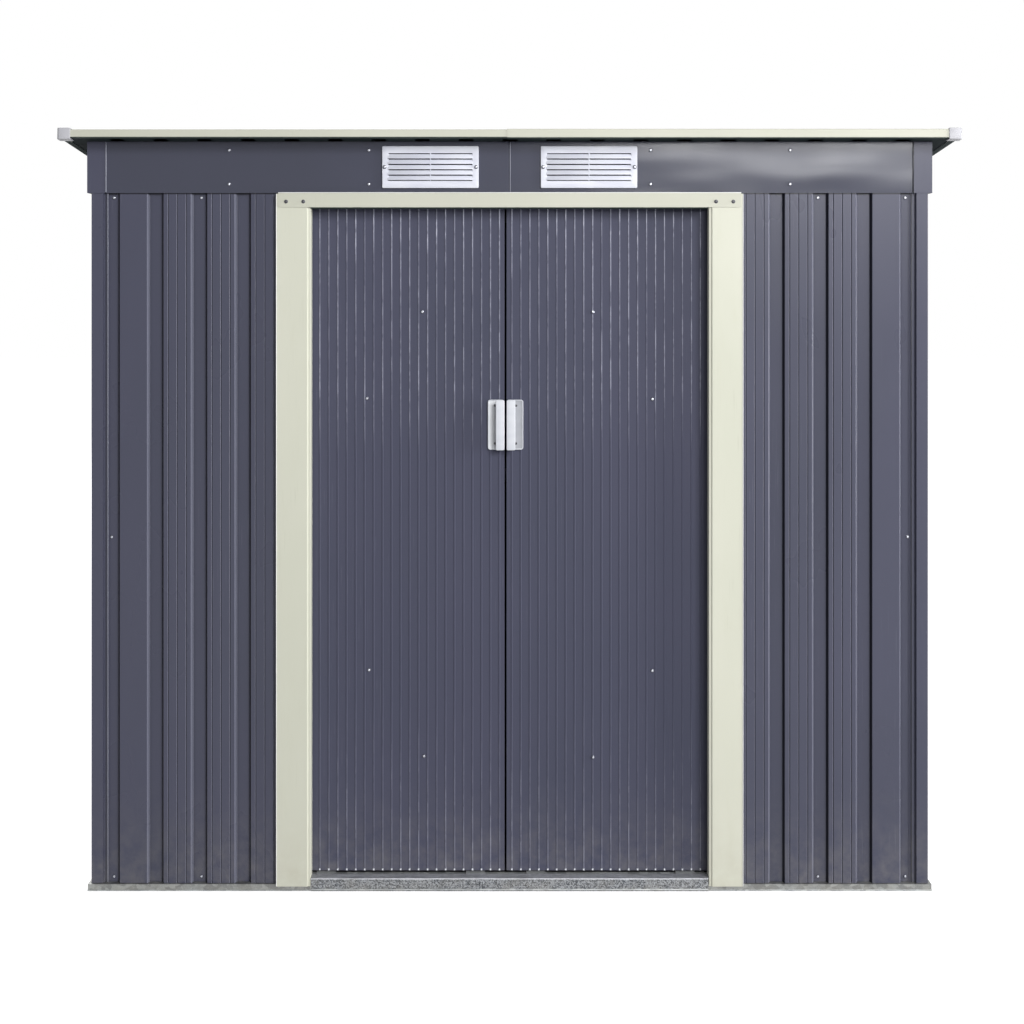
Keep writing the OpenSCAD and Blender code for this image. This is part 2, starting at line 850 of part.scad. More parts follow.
// Diagonal brace from the middle of the outer edge down to the meeting edge's corner.
module door_strut(half_x, half_z) {
  length = 3 * half_z;
  section = sheet([
    [strut_t, -strut_w / 2], [0, -strut_w / 2], [0, strut_w / 2], [strut_t, strut_w / 2]
  ], -sheet_t);
  intersection() {
    translate([-half_x, 0, -half_z])
      cube([2 * half_x, strut_t, half_z]);
    translate([-half_x, 0, -strut_split / 2])
      rotate([0, strut_slant, 0])
        along_x(-length, length)
          polygon(section);
  }
}

// Rectangle with round corners, centred.
module round_rectangle(w, h, r) {
  square([w - 2 * r, h], center = true);
  square([w, h - 2 * r], center = true);
  for (x = [-1, 1], y = [-1, 1])
    translate([x * (w / 2 - r), y * (h / 2 - r)])
      circle(r);
}

// Handle: a rimmed plate with a hooked grip along the meeting edge.
module door_handle(right) {
  back = door_face + seat;
  plate_front = back + handle_wall;
  out = back + handle_out;
  color(WHITE)
    at_door(right)
      translate([0, 0, handle_z]) {
        along_y(-plate_front, -back)
          translate([-handle_w / 2, 0])
            round_rectangle(handle_w, handle_h, plate_r);
        along_y(-plate_front - plate_rim, -plate_front + 1)
          translate([-handle_w / 2, 0])
            difference() {
              round_rectangle(handle_w, handle_h, plate_r);
              round_rectangle(handle_w - 2 * plate_rim, handle_h - 2 * plate_rim, plate_r - plate_rim);
            }
        translate([-handle_wall, -out + 1, plate_r - handle_h / 2])
          cube([handle_wall, handle_out - 2, handle_h - 2 * plate_r]);
        along_y(-out, handle_wall - out)
          translate([-grip_w / 2, 0])
            round_rectangle(grip_w, handle_h, grip_r);
      }
}

// Gliders in the track and guides on the fin, two of each.
module door_gliders(right) {
  head = track_z + lap;
  head_t = track_slot + 2 * head_rest;
  guide_t = sheet_t + 2 * (guide_play + guide_wall);
  guide_mid = fin_y - sheet_t / 2;
  color(WHITE)
    at_door(right)
      for (x = [-glider_inset, glider_inset - door_w])
        translate([x - glider_w / 2, 0, 0]) {
          translate([0, -door_mid - stem_t / 2, door_top + seat])
            cube([glider_w, stem_t, head - door_top]);
          translate([0, -door_mid - head_t / 2, head])
            cube([glider_w, head_t, head_h]);
          difference() {
            translate([0, -guide_mid - guide_t / 2, door_foot - guide_h])
              cube([glider_w, guide_t, guide_h - seat]);
            translate([-1, -fin_y - guide_play, door_foot - guide_h - 1])
              cube([glider_w + 2, sheet_t + 2 * guide_play, guide_h - guide_wall]);
          }
        }
}

module left_door_panel() { door_panel(false); }
module left_door_frame() { door_frame(false); }
module left_door_handle() { door_handle(false); }
module left_door_gliders() { door_gliders(false); }
module right_door_panel() { door_panel(true); }
module right_door_frame() { door_frame(true); }
module right_door_handle() { door_handle(true); }
module right_door_gliders() { door_gliders(true); }

base_rail_front();
base_rail_back();
base_rail_left();
base_rail_right();
corner_post_front_left();
corner_post_front_right();
corner_post_back_left();
corner_post_back_right();
front_wall_left();
front_wall_right();
left_wall();
right_wall();
back_wall();
wall_braces();
top_rails();
door_track();
door_guide_rail();
door_sill();
door_jamb_left();
door_jamb_right();
door_lintel();
header_left();
header_right();
gable_left();
gable_right();
vent_left();
vent_right();
roof_panel_1();
roof_panel_2();
roof_panel_3();
roof_panel_4();
roof_beam();
roof_trim_front();
roof_trim_back();
roof_trim_left();
roof_trim_right();
roof_corner_caps();
left_door_panel();
left_door_frame();
left_door_handle();
left_door_gliders();
right_door_panel();
right_door_frame();
right_door_handle();
right_door_gliders();
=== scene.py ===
# %% [markdown]
# # A metal storage shed
# The object is a small garden shed of roll-formed steel sheet. Its roof slopes to the back, and two doors slide
# behind cream jambs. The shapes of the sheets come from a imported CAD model, which this lesson loads as a fixed frame.
# What is left to Blender is what CAD is poor at: light, paint, zinc, moulded plastic, and the screws.

# %% Load the frame
from math import radians
import bmesh
import bpy
from mathutils import Matrix, Vector


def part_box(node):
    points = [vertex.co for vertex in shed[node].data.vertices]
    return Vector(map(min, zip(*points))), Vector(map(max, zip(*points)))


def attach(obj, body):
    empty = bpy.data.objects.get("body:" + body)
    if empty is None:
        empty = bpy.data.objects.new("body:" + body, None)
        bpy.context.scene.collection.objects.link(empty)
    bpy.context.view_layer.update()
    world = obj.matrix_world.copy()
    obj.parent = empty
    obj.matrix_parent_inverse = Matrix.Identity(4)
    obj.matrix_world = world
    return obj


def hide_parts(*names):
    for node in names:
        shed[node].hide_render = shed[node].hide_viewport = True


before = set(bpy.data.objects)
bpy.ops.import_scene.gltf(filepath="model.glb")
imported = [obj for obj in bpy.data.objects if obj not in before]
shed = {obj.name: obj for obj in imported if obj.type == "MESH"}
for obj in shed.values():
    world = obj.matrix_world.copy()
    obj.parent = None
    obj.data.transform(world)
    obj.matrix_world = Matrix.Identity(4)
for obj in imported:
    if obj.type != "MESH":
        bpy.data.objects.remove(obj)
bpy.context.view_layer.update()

SIDES = ("left", "right")

# %% [markdown]
# ## The camera
# The photograph was taken straight on, from the height of a person's chest: the sides of the roof run back towards
# one point, and that point lies a little below the top of the doors. A camera that looks exactly along Y keeps every
# upright edge upright. Tilting it down to centre the shed would make the edges lean, so the lens is shifted instead.

# %% Camera
def new_object(name, data):
    """A new object in the scene."""
    made = bpy.data.objects.new(name, data)
    bpy.context.scene.collection.objects.link(made)
    return made


PHOTO_SIDE = 1024
FOCAL_PIXELS = 1676.0
EYE = Vector((0.0067, -4.59, 1.435))
HORIZON_ROW = 289.0
SIDE_SHIFT = -0.0005

lens = bpy.data.cameras.new("photo_lens")
lens.sensor_width = 36.0
lens.lens = FOCAL_PIXELS / PHOTO_SIDE * lens.sensor_width
lens.shift_x = SIDE_SHIFT
lens.shift_y = (HORIZON_ROW - PHOTO_SIDE / 2) / PHOTO_SIDE
camera = new_object("photo_camera", lens)
camera.location = EYE
camera.rotation_euler = (radians(90), 0, 0)
bpy.context.scene.camera = camera
bpy.context.scene.view_settings.view_transform = "Standard"
print("lens:", round(lens.lens, 2), "mm, shift:", round(lens.shift_y, 4))

# %% [markdown]
# ## Small helpers for nodes
# Every finish below is a handful of shader nodes. One helper adds a node, sets its options and fills its inputs, and
# short ones stand for the nodes that come up most, so that a finish reads almost like a recipe.

# %% Node helpers
def add(tree, kind, inputs=None, **options):
    """Adds a node, sets its options, and fills or links its inputs."""
    made = tree.nodes.new(kind)
    for name, value in options.items():
        setattr(made, name, value)
    for name, value in (inputs or {}).items():
        if isinstance(value, bpy.types.NodeSocket):
            tree.links.new(value, made.inputs[name])
        else:
            made.inputs[name].default_value = value
    return made


def maths(tree, operation, a, b=0.0, clamp=False):
    """One Math node, and its output."""
    return add(tree, "ShaderNodeMath", {0: a, 1: b}, operation=operation, use_clamp=clamp).outputs[0]


def times(tree, a, b):
    """One value times another."""
    return maths(tree, "MULTIPLY", a, b)


def spread(tree, value, low, high, to_low=0.0, to_high=1.0):
    """Stretches a value from one range to another, and stops at its ends."""
    inputs = {0: value, 1: low, 2: high, 3: to_low, 4: to_high}
    return add(tree, "ShaderNodeMapRange", inputs, clamp=True).outputs[0]


def blend_colour(tree, factor, under, over):
    """Lays one colour over another, by a factor."""
    return add(tree, "ShaderNodeMix", {0: factor, 6: under, 7: over}, data_type="RGBA").outputs[2]


def tone(red, green, blue):
    """A colour as a screen shows it, 0 to 255, turned into the linear numbers that Blender works in."""
    def linear(part):
        part = part / 255
        return part / 12.92 if part <= 0.04045 else ((part + 0.055) / 1.055) ** 2.4
    return (linear(red), linear(green), linear(blue), 1.0)


NUMBER, VECTOR = "NodeSocketFloat", "NodeSocketVector"


def new_group(name, inputs, outputs):
    """An empty node group with named inputs and outputs: its tree, the given values and its end node."""
    tree = bpy.data.node_groups.new(name, "ShaderNodeTree")
    for label, kind, value in inputs:
        socket = tree.interface.new_socket(name=label, in_out="INPUT", socket_type=kind)
        socket.default_value = value
    for label, kind in outputs:
        tree.interface.new_socket(name=label, in_out="OUTPUT", socket_type=kind)
    return tree, tree.nodes.new("NodeGroupInput").outputs, tree.nodes.new("NodeGroupOutput")


def connect(tree, node, **sources):
    """Links sources to the node's sockets of those names."""
    for name, source in sources.items():
        tree.links.new(source, node.inputs[name.replace("_", " ")])


def place_in(tree, stretch):
    """Metres on the object, squeezed or stretched, for a texture to read."""
    where = add(tree, "ShaderNodeTexCoord").outputs["Object"]
    return add(tree, "ShaderNodeVectorMath", {0: where, 1: stretch}, operation="MULTIPLY").outputs[0]


def noise(tree, where, scale=1.0, detail=2.0, rough=0.5):
    """Noise about 0.5 at a place."""
    inputs = {"Vector": where, "Scale": scale, "Detail": detail, "Roughness": rough}
    return add(tree, "ShaderNodeTexNoise", inputs).outputs["Fac"]


def place_parts(tree):
    """X, Y and Z on the object, in metres."""
    return add(tree, "ShaderNodeSeparateXYZ", {0: add(tree, "ShaderNodeTexCoord").outputs["Object"]}).outputs


print("linear slate:", [round(part, 3) for part in tone(82, 83, 97)])

# %% [markdown]
# ## The studio
# The photograph is cut out on pure white, lit softly from the right and a little from above: every fold that faces
# right is bright and every fold that faces left is dark, and the right end of the header band mirrors a large lamp.
# White comes from what the camera and reflections see of the world and the floor, never from more light on the
# shed. The paint mirrors little, or every fold would turn milky under so much white. Under the shed the floor is left
# plain, so that the gap between the doors stays dark. Soft boxes do the rest: a high one far to the right for the
# shadows, one near the camera for the reflection in the header, an upright strip low on the right, whose glints draw
# a thin bright line along every bend that faces it, and a weaker one behind, so that the back can be read too.

# %% World and floor
def shown_white(tree):
    """1 for rays of the camera, of reflections and through glass, and 0 for rays that gather light."""
    path = add(tree, "ShaderNodeLightPath")
    mirrored = maths(tree, "MAXIMUM", path.outputs["Is Camera Ray"], path.outputs["Is Glossy Ray"])
    return maths(tree, "MAXIMUM", mirrored, path.outputs["Is Transmission Ray"])


AMBIENT = 0.27
FLOOR_GREY, FLOOR_PALE = (0.34, 0.34, 0.34, 1), (0.42, 0.42, 0.42, 1)
FLOOR_GLOW = 0.93
UNDER_SHED = {"X": 0.99, "Y": 0.58}

world = bpy.data.worlds.new("studio_white")
bpy.context.scene.world = world
world.use_nodes = True
sky = world.node_tree
sky.nodes.clear()
soft = add(sky, "ShaderNodeBackground", {"Color": (0.98, 0.99, 1.0, 1), "Strength": AMBIENT})
white = add(sky, "ShaderNodeBackground", {"Color": (1, 1, 1, 1), "Strength": 1.0})
both = add(sky, "ShaderNodeMixShader", {0: shown_white(sky), 1: soft.outputs[0], 2: white.outputs[0]})
add(sky, "ShaderNodeOutputWorld", {"Surface": both.outputs[0]})

bpy.ops.mesh.primitive_plane_add(size=60, location=(0, 0, -0.0005))
floor = bpy.context.object
floor.name = "studio_floor"
paper = bpy.data.materials.new("floor_paper")
paper.use_nodes = True
tree = paper.node_tree
tree.nodes.clear()
matt = add(tree, "ShaderNodeBsdfDiffuse", {"Color": FLOOR_GREY})
pale = add(tree, "ShaderNodeBsdfDiffuse", {"Color": FLOOR_PALE})
glow = add(tree, "ShaderNodeEmission", {"Color": (1, 1, 1, 1), "Strength": FLOOR_GLOW})
shown = add(tree, "ShaderNodeAddShader", {0: pale.outputs[0], 1: glow.outputs[0]})
spot = place_parts(tree)
beyond = [maths(tree, "GREATER_THAN", maths(tree, "ABSOLUTE", spot[axis]), half) for axis, half in UNDER_SHED.items()]
white_here = times(tree, shown_white(tree), maths(tree, "MAXIMUM", *beyond))
either = add(tree, "ShaderNodeMixShader", {0: white_here, 1: matt.outputs[0], 2: shown.outputs[0]})
add(tree, "ShaderNodeOutputMaterial", {"Surface": either.outputs[0]})
floor.data.materials.append(paper)
print("floor at", floor.location[2], "m, soft light", AMBIENT)

# %% Lamps
def soft_box(name, place, target, width, height, watts):
    """A rectangular lamp at a place, turned to face a target."""
    lamp = bpy.data.lights.new(name, "AREA")
    lamp.shape = "RECTANGLE"
    lamp.size, lamp.size_y, lamp.energy = width, height, watts
    box = new_object(name, lamp)
    box.location = place
    box.rotation_euler = (Vector(target) - Vector(place)).to_track_quat("-Z", "Y").to_euler()


soft_box("high_soft_box", (5.0, -8.4, 5.6), (0.0, -0.6, 1.0), 2.6, 2.6, 690)
soft_box("header_soft_box", (1.7, -6.0, 2.66), (0.65, -0.6, 1.6), 2.1, 1.0, 130)
soft_box("right_strip", (5.4, -1.9, 1.3), (0.0, -0.6, 1.1), 1.0, 2.2, 190)
soft_box("back_soft_box", (-5.4, 8.2, 5.2), (0.0, 0.6, 0.9), 3.0, 3.0, 520)

# %% [markdown]
# ## Effects that several finishes share
# Painted steel is never perfectly flat or even. Rolling leaves long shallow waves that bend reflections, the paint
# has a fine skin like orange peel, and dust settles low down. Each effect is a node group that puts out a height, a
# mask or a value, and each finish mixes the groups with its own numbers.

# %% Waves and skin of a coated sheet
waves, given, end = new_group("sheet_waves", [("Stretch", VECTOR, (3, 3, 3)), ("Depth", NUMBER, 0.001)],
                              [("Height", NUMBER)])
long_wave = noise(waves, place_in(waves, given["Stretch"]), detail=1.0, rough=0.35)
connect(waves, end, Height=times(waves, long_wave, given["Depth"]))

skin, given, end = new_group("paint_skin", [("Scale", NUMBER, 420.0), ("Depth", NUMBER, 0.00002)],
                             [("Height", NUMBER), ("Grain", NUMBER)])
spot = place_in(skin, (1, 1, 1))
peel = times(skin, noise(skin, spot, given["Scale"]), given["Depth"])
connect(skin, end, Height=peel, Grain=noise(skin, spot, 1900.0, 1.0))
print("groups:", [group.name for group in bpy.data.node_groups])

# %% Clouds of tint, dust and scuffs
clouds, given, end = new_group("tint_clouds", [("Scale", NUMBER, 2.5)], [("Amount", NUMBER)])
cloud = noise(clouds, place_in(clouds, (1, 1, 0.6)), given["Scale"], 3.0)
connect(clouds, end, Amount=spread(clouds, cloud, 0.3, 0.7))

dust, given, end = new_group("low_dust", [("Reach", NUMBER, 0.3), ("Amount", NUMBER, 0.3)], [("Mask", NUMBER)])
low = maths(dust, "SUBTRACT", 1.0, maths(dust, "DIVIDE", place_parts(dust)["Z"], given["Reach"]), clamp=True)
puffs = noise(dust, place_in(dust, (1, 1, 1)), 26.0, 5.0, 0.65)
broken = times(dust, maths(dust, "POWER", low, 2.0), spread(dust, puffs, 0.35, 0.75))
connect(dust, end, Mask=times(dust, broken, given["Amount"]))

scuffs, given, end = new_group("upright_scuffs", [("Amount", NUMBER, 0.2)], [("Mask", NUMBER)])
streaks = spread(scuffs, noise(scuffs, place_in(scuffs, (420, 420, 9))), 0.64, 0.74)
patches = spread(scuffs, noise(scuffs, place_in(scuffs, (3, 3, 2))), 0.5, 0.62)
rare = times(scuffs, streaks, patches)
connect(scuffs, end, Mask=times(scuffs, rare, given["Amount"]))
print("groups:", [group.name for group in bpy.data.node_groups])

# %% [markdown]
# A coated sheet has its colour on one side only. The other side keeps a thin grey-green primer, which shows under the
# roof and inside the shed. Its tone is kept dark, partly painted shade, and darker still under the roof. The sheets
# here are solids with two faces, so the mask simply asks which way a face looks.

# %% The primed side of a sheet
primed, given, end = new_group("primed_side", [("Outward", VECTOR, (0, -1, 0))], [("Mask", NUMBER)])
facing = add(primed, "ShaderNodeNewGeometry").outputs["True Normal"]
along = add(primed, "ShaderNodeVectorMath", {0: facing, 1: given["Outward"]}, operation="DOT_PRODUCT")
connect(primed, end, Mask=spread(primed, along.outputs["Value"], -0.1, -0.2))
print("primed side reads the true normal")

# %% [markdown]
# Folds get painted light and shade. A painted shade darkens the spots that a fold hides from one side, where the
# lamps stand, and the faces turned away from it. A painted highlight makes the faces that look squarely that way
# pale. The first mask asks how open each spot is towards one side, which is full on a flat sheet and little behind a
# rib. The second asks how squarely the surface faces that side.

# %% Painted shade and highlight of folds
fold_light, given, end = new_group("fold_shade_and_highlight", [("Towards", VECTOR, (0.77, -0.64, 0))],
                              [("Grime", NUMBER), ("Rub", NUMBER)])
openness = add(fold_light, "ShaderNodeAmbientOcclusion", {"Distance": 0.02, "Normal": given["Towards"]},
               samples=8, only_local=True).outputs["AO"]
faces = add(fold_light, "ShaderNodeVectorMath", {0: add(fold_light, "ShaderNodeNewGeometry").outputs["Normal"],
                                            1: given["Towards"]}, operation="DOT_PRODUCT").outputs["Value"]
# Painted shade for hidden spots and faces turned away, and painted highlight for faces that look towards the lamps.
shaded = maths(fold_light, "MAXIMUM", spread(fold_light, openness, 0.86, 0.46), spread(fold_light, faces, 0.3, 0.0))
connect(fold_light, end, Grime=shaded, Rub=spread(fold_light, faces, 0.84, 0.94))
print("fold wear:", len(fold_light.nodes), "nodes")

# %% [markdown]
# ## Slate paint
# The walls, the header and the gable bands are coil-coated in a blue-grey slate with a satin gloss, which is plain
# Principled roughness with a low specular level. The waves run up and down on the walls, as the sheets were rolled,
# and along the header, whose halves are folded strips held by screws, so they dent between them. The front walls are
# lapped by the header's foot, and a painted shadow darkens them above a height just under it.

# %% Painted sheet
# The primer's dark tone is partly painted shade, for undersides seen from below.
PRIMER_AND_SHADE = tone(44, 54, 53)
DUST = tone(150, 146, 136)
# Painted highlight for folds that face the lamps, and painted shade for hidden folds and the band under the header.
PAINTED_HIGHLIGHT = tone(150, 152, 168)
PAINTED_SHADE = tone(12, 12, 22)
NO_LAP = 9.0


def new_material(name):
    """An empty material with a Principled shader, ready for its sockets."""
    material = bpy.data.materials.new(name)
    material.use_nodes = True
    tree = material.node_tree
    tree.nodes.clear()
    shader = add(tree, "ShaderNodeBsdfPrincipled")
    add(tree, "ShaderNodeOutputMaterial", {"Surface": shader.outputs[0]})
    return material, tree, shader


def use(tree, group, **inputs):
    """Places a shared effect in a material."""
    return add(tree, "ShaderNodeGroup", {name.replace("_", " "): value for name, value in inputs.items()},
               node_tree=group)


def coat(tree, shader, colour, uneven, back, grain, stretch, depth, gloss):
    """Ends a painted finish: dull where it is primed, with waves and skin, and with little mirror."""
    dull = maths(tree, "MAXIMUM", uneven, times(tree, back, 0.9))
    bumps = maths(tree, "ADD", use(tree, waves, Stretch=stretch, Depth=depth).outputs["Height"],
                  grain.outputs["Height"])
    relief = add(tree, "ShaderNodeBump", {"Height": bumps, "Distance": 1.0, "Strength": 1.0})
    connect(tree, shader, Base_Color=colour, Roughness=dull, Normal=relief.outputs[0])
    shader.inputs["Specular IOR Level"].default_value = gloss


def painted_sheet(name, colour, shade, outward, stretch, depth, rough=0.29, gloss=0.22, marks=0.1,
                  towards=None, primer_and_shade=PRIMER_AND_SHADE, lap=NO_LAP):
    """Satin paint on one side of a rolled sheet, primer on the other, and, where a side is given, painted shade and
    highlight on its folds and a painted shadow above the height of a lap.
    """
    material, tree, shader = new_material(name)
    tinted = blend_colour(tree, use(tree, clouds).outputs["Amount"], colour, shade)
    grain = use(tree, skin)
    speckled = blend_colour(tree, spread(tree, grain.outputs["Grain"], 0.3, 0.7, 0.0, 0.03), tinted,
                            (0.6, 0.6, 0.66, 1))
    scuffed = blend_colour(tree, use(tree, scuffs, Amount=marks).outputs["Mask"], speckled, tone(150, 152, 165))
    back = use(tree, primed, Outward=outward).outputs["Mask"]
    coated = blend_colour(tree, back, scuffed, primer_and_shade)
    settled = use(tree, dust, Reach=0.3).outputs["Mask"]
    finished = blend_colour(tree, settled, coated, DUST)
    # Painted light: a highlight on faces towards the lamps, shade in folds hidden from them, shadow above the lap
    # height.
    if towards:
        fold_light_masks = use(tree, fold_light, Towards=towards)
        highlights = blend_colour(tree, times(tree, fold_light_masks.outputs["Rub"], 0.3), finished, PAINTED_HIGHLIGHT)
        header_shadow = maths(tree, "GREATER_THAN", place_parts(tree)["Z"], lap)
        shade_mask = maths(tree, "MAXIMUM", fold_light_masks.outputs["Grime"], header_shadow)
        outside = maths(tree, "SUBTRACT", 0.9, back, clamp=True)
        finished = blend_colour(tree, times(tree, shade_mask, outside), highlights, PAINTED_SHADE)
    uneven = spread(tree, use(tree, clouds, Scale=6.0).outputs["Amount"], 0, 1, rough - 0.03, rough + 0.05)
    coat(tree, shader, finished, uneven, back, grain, stretch, depth, gloss)
    return material


SLATE = tone(66, 67, 84)
SLATE_SHADE = tone(62, 64, 79)
UPRIGHT = (5.0, 5.0, 1.4)
header_low, header_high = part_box("header_right")
HEADER_FACE, HEADER_FOOT, HEADER_TOP = header_low[1], header_low[2], header_high[2]
WALLS = {"front": ((0, -1, 0), (0.77, -0.64, 0)), "back": ((0, 1, 0), (-0.77, 0.64, 0)),
         "left": ((-1, 0, 0), (-0.64, -0.77, 0)), "right": ((1, 0, 0), (0.64, -0.77, 0))}
# The front walls get a painted shadow above this height, just under the header's foot.
LAPS = {"front": HEADER_FOOT - 0.003}
wall_paint = {name: painted_sheet("slate_" + name, SLATE, SLATE_SHADE, outward, UPRIGHT, 0.0016, towards=towards,
                                  lap=LAPS.get(name, NO_LAP)) for name, (outward, towards) in WALLS.items()}
# The header's slate is a darker copy of the walls' slate, painted shade against the lamp that lights it.
header_paint = painted_sheet("slate_header", tone(57, 59, 74), tone(54, 56, 69), (0, -1, 0), (3.2, 3.0, 11.0),
                             0.0036, rough=0.2, gloss=0.26, marks=0.0)
# The roof's primer is darker still, painted shade on its underside; its folds get painted shade and highlight.
roof_paint = painted_sheet("slate_roof", SLATE, SLATE_SHADE, (0, 0, 1), (4.0, 1.2, 4.0), 0.0016, gloss=0.1,
                           towards=(0.64, 0, 0.77), primer_and_shade=tone(28, 36, 38))
print("slate paints:", len([m for m in bpy.data.materials if m.name.startswith("slate")]))

# %% [markdown]
# The corner posts and the gable bands fold round a corner, so no single direction is outwards for them, and their
# insides are hardly seen. Their paint takes upwards as its outward direction, which primes only their undersides.

# %% Corner paint
corner_paint = painted_sheet("slate_corner", SLATE, SLATE_SHADE, (0, 0, 1), UPRIGHT, 0.001)
print("corner paint:", corner_paint.name)

# %% [markdown]
# ## Door paint
# The doors carry the same paint over fine ribs. In the photograph each rib draws a thin pale line, broken into dashes,
# and at the foot of the door every rib ends in a small pale tab. A mask that knows the distance between the ribs lays
# a lighter tone on their crests, a painted highlight, broken up by noise along the height and stronger near the top
# and the foot, and a paler tone on each rib's foot, a painted highlight too.

# %% Rib lines
TAB_HEIGHT = 0.0045
lines, given, end = new_group("rib_lines", [("Middle", NUMBER, 0.0), ("Pitch", NUMBER, 0.0216),
                                            ("Width", NUMBER, 0.0014)], [("Line", NUMBER), ("Tab", NUMBER)])
parts = place_parts(lines)
from_middle = maths(lines, "SUBTRACT", parts["X"], given["Middle"])
away = maths(lines, "PINGPONG", from_middle, times(lines, given["Pitch"], 0.5))
thin = maths(lines, "LESS_THAN", away, given["Width"])
dash = noise(lines, place_in(lines, (46.3, 1, 24)), detail=3.0, rough=0.7)
long_dash = noise(lines, place_in(lines, (46.3, 1, 2.2)), detail=1.0)
both = times(lines, spread(lines, dash, 0.4, 0.62, 0.3, 1.0), spread(lines, long_dash, 0.35, 0.65, 0.3, 1.0))
# Painted highlight, stronger in bands near the top and the foot of the door.
upper = spread(lines, parts["Z"], 1.04, 1.2, 0.0, 0.56)
top = spread(lines, parts["Z"], 1.5, 1.62, 0.0, 0.7)
lower = spread(lines, parts["Z"], 0.45, 0.1, 0.0, 0.36)
glint_by_height = maths(lines, "ADD", upper, maths(lines, "ADD", top, lower))
near = maths(lines, "LESS_THAN", away, times(lines, given["Width"], 1.3))
foot = maths(lines, "LESS_THAN", parts["Z"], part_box("left_door_panel")[0][2] + TAB_HEIGHT)
connect(lines, end, Line=times(lines, thin, times(lines, both, glint_by_height)), Tab=times(lines, near, foot))
print("rib lines:", len(lines.nodes), "nodes")

# %% Door paint
def door_paint(name, middle):
    """Slate paint with painted highlights on the rib crests and on the tabs at the foot."""
    material = painted_sheet(name, tone(68, 69, 86), tone(64, 66, 82), (0, -1, 0), UPRIGHT, 0.001, rough=0.42,
                             gloss=0.08)
    tree = material.node_tree
    shader = tree.nodes["Principled BSDF"]
    under = shader.inputs["Base Color"].links[0].from_socket
    # Painted highlights: a lighter tone along the rib crests and a paler one at each rib's foot.
    highlights = use(tree, lines, Middle=middle)
    crest_highlighted = blend_colour(tree, times(tree, highlights.outputs["Line"], 0.75), under, tone(184, 186, 202))
    foot_highlighted = blend_colour(tree, highlights.outputs["Tab"], crest_highlighted, tone(205, 208, 214))
    connect(tree, shader, Base_Color=foot_highlighted)
    return material


door_box = {side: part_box(side + "_door_panel") for side in SIDES}
door_middle = {side: (low[0] + high[0]) / 2 for side, (low, high) in door_box.items()}
door_paints = {side: door_paint("slate_door_" + side, door_middle[side]) for side in door_middle}
print("door middles:", door_middle)

# %% [markdown]
# ## Cream paint
# The jambs, the lintel and the roof trims are a warm grey-green cream. It is the palest finish apart from the
# plastic, so its marks show: faint streaks from handling, and a little dust at the foot. Their undersides get the dark
# primer, painted shade for how dark they look from below. The lintel and the roof trims take a darker copy of the
# cream than the jambs, painted shade against the stronger light they get.

# %% Cream paint
def cream_finish(name, stretch, pale, depth=0.0006):
    """Satin cream paint with faint streaks and marks, and a dark primed coat, painted shade, where it faces down."""
    material, tree, shader = new_material(name)
    tinted = blend_colour(tree, use(tree, clouds, Scale=3.0).outputs["Amount"],
                          tone(206 * pale, 206 * pale, 192 * pale), tone(199 * pale, 200 * pale, 185 * pale))
    streak = noise(tree, place_in(tree, stretch), 9.0, 4.0, 0.6)
    streaked = blend_colour(tree, spread(tree, streak, 0.55, 0.8, 0.0, 0.25), tinted, tone(190, 190, 172))
    marked = blend_colour(tree, use(tree, scuffs, Amount=0.3).outputs["Mask"], streaked, tone(168, 168, 152))
    dusty = blend_colour(tree, use(tree, dust, Reach=0.25, Amount=0.35).outputs["Mask"], marked,
                         tone(168, 160, 142))
    back = use(tree, primed, Outward=(0, 0, 1)).outputs["Mask"]
    coated = blend_colour(tree, back, dusty, PRIMER_AND_SHADE)
    grain = use(tree, skin, Scale=380.0)
    uneven = spread(tree, streak, 0.3, 0.7, 0.4, 0.5)
    coat(tree, shader, coated, uneven, back, grain, stretch, depth, 0.25)
    return material


# The level and side creams are darker copies of the upright one, painted shade against the stronger light up high.
cream_upright = cream_finish("cream_upright", (6.0, 6.0, 1.0), pale=0.975)
cream_level = cream_finish("cream_level", (1.0, 6.0, 8.0), pale=0.92)
cream_side = cream_finish("cream_side", (6.0, 1.0, 8.0), pale=0.92)
print("cream paints:", [paint.name for paint in (cream_upright, cream_level, cream_side)])

# %% [markdown]
# ## Galvanised steel
# The base rails, the sill and everything inside are bare galvanised sheet. Zinc freezes into flakes, the spangle,
# each with its own shine, and it dulls and speckles outdoors. A Voronoi pattern gives the flakes: its random colour
# per cell shifts both tone and roughness. The sill is trodden on, so it is speckled and streaked far more.

# %% Spangle
spangle, given, end = new_group("zinc_spangle", [("Flakes", NUMBER, 90.0), ("Speckle", NUMBER, 0.2)],
                                [("Tone", NUMBER), ("Height", NUMBER)])
spot = place_in(spangle, (1, 1, 1))
warp = add(spangle, "ShaderNodeTexNoise", {"Vector": spot, "Scale": 60.0, "Detail": 2.0})
bent = add(spangle, "ShaderNodeVectorMath", {0: warp.outputs["Color"], 1: (0.006, 0.006, 0.006), 2: spot},
           operation="MULTIPLY_ADD")
flake = add(spangle, "ShaderNodeTexVoronoi", {"Vector": bent.outputs[0], "Scale": given["Flakes"]})
shine = add(spangle, "ShaderNodeSeparateColor", {0: flake.outputs["Color"]}).outputs[0]
speck = spread(spangle, noise(spangle, spot, 300.0, 4.0, 0.8), 0.35, 0.65, -1.0, 1.0)
specks = times(spangle, speck, given["Speckle"])
connect(spangle, end, Tone=maths(spangle, "ADD", shine, specks, clamp=True), Height=times(spangle, shine, 0.00002))


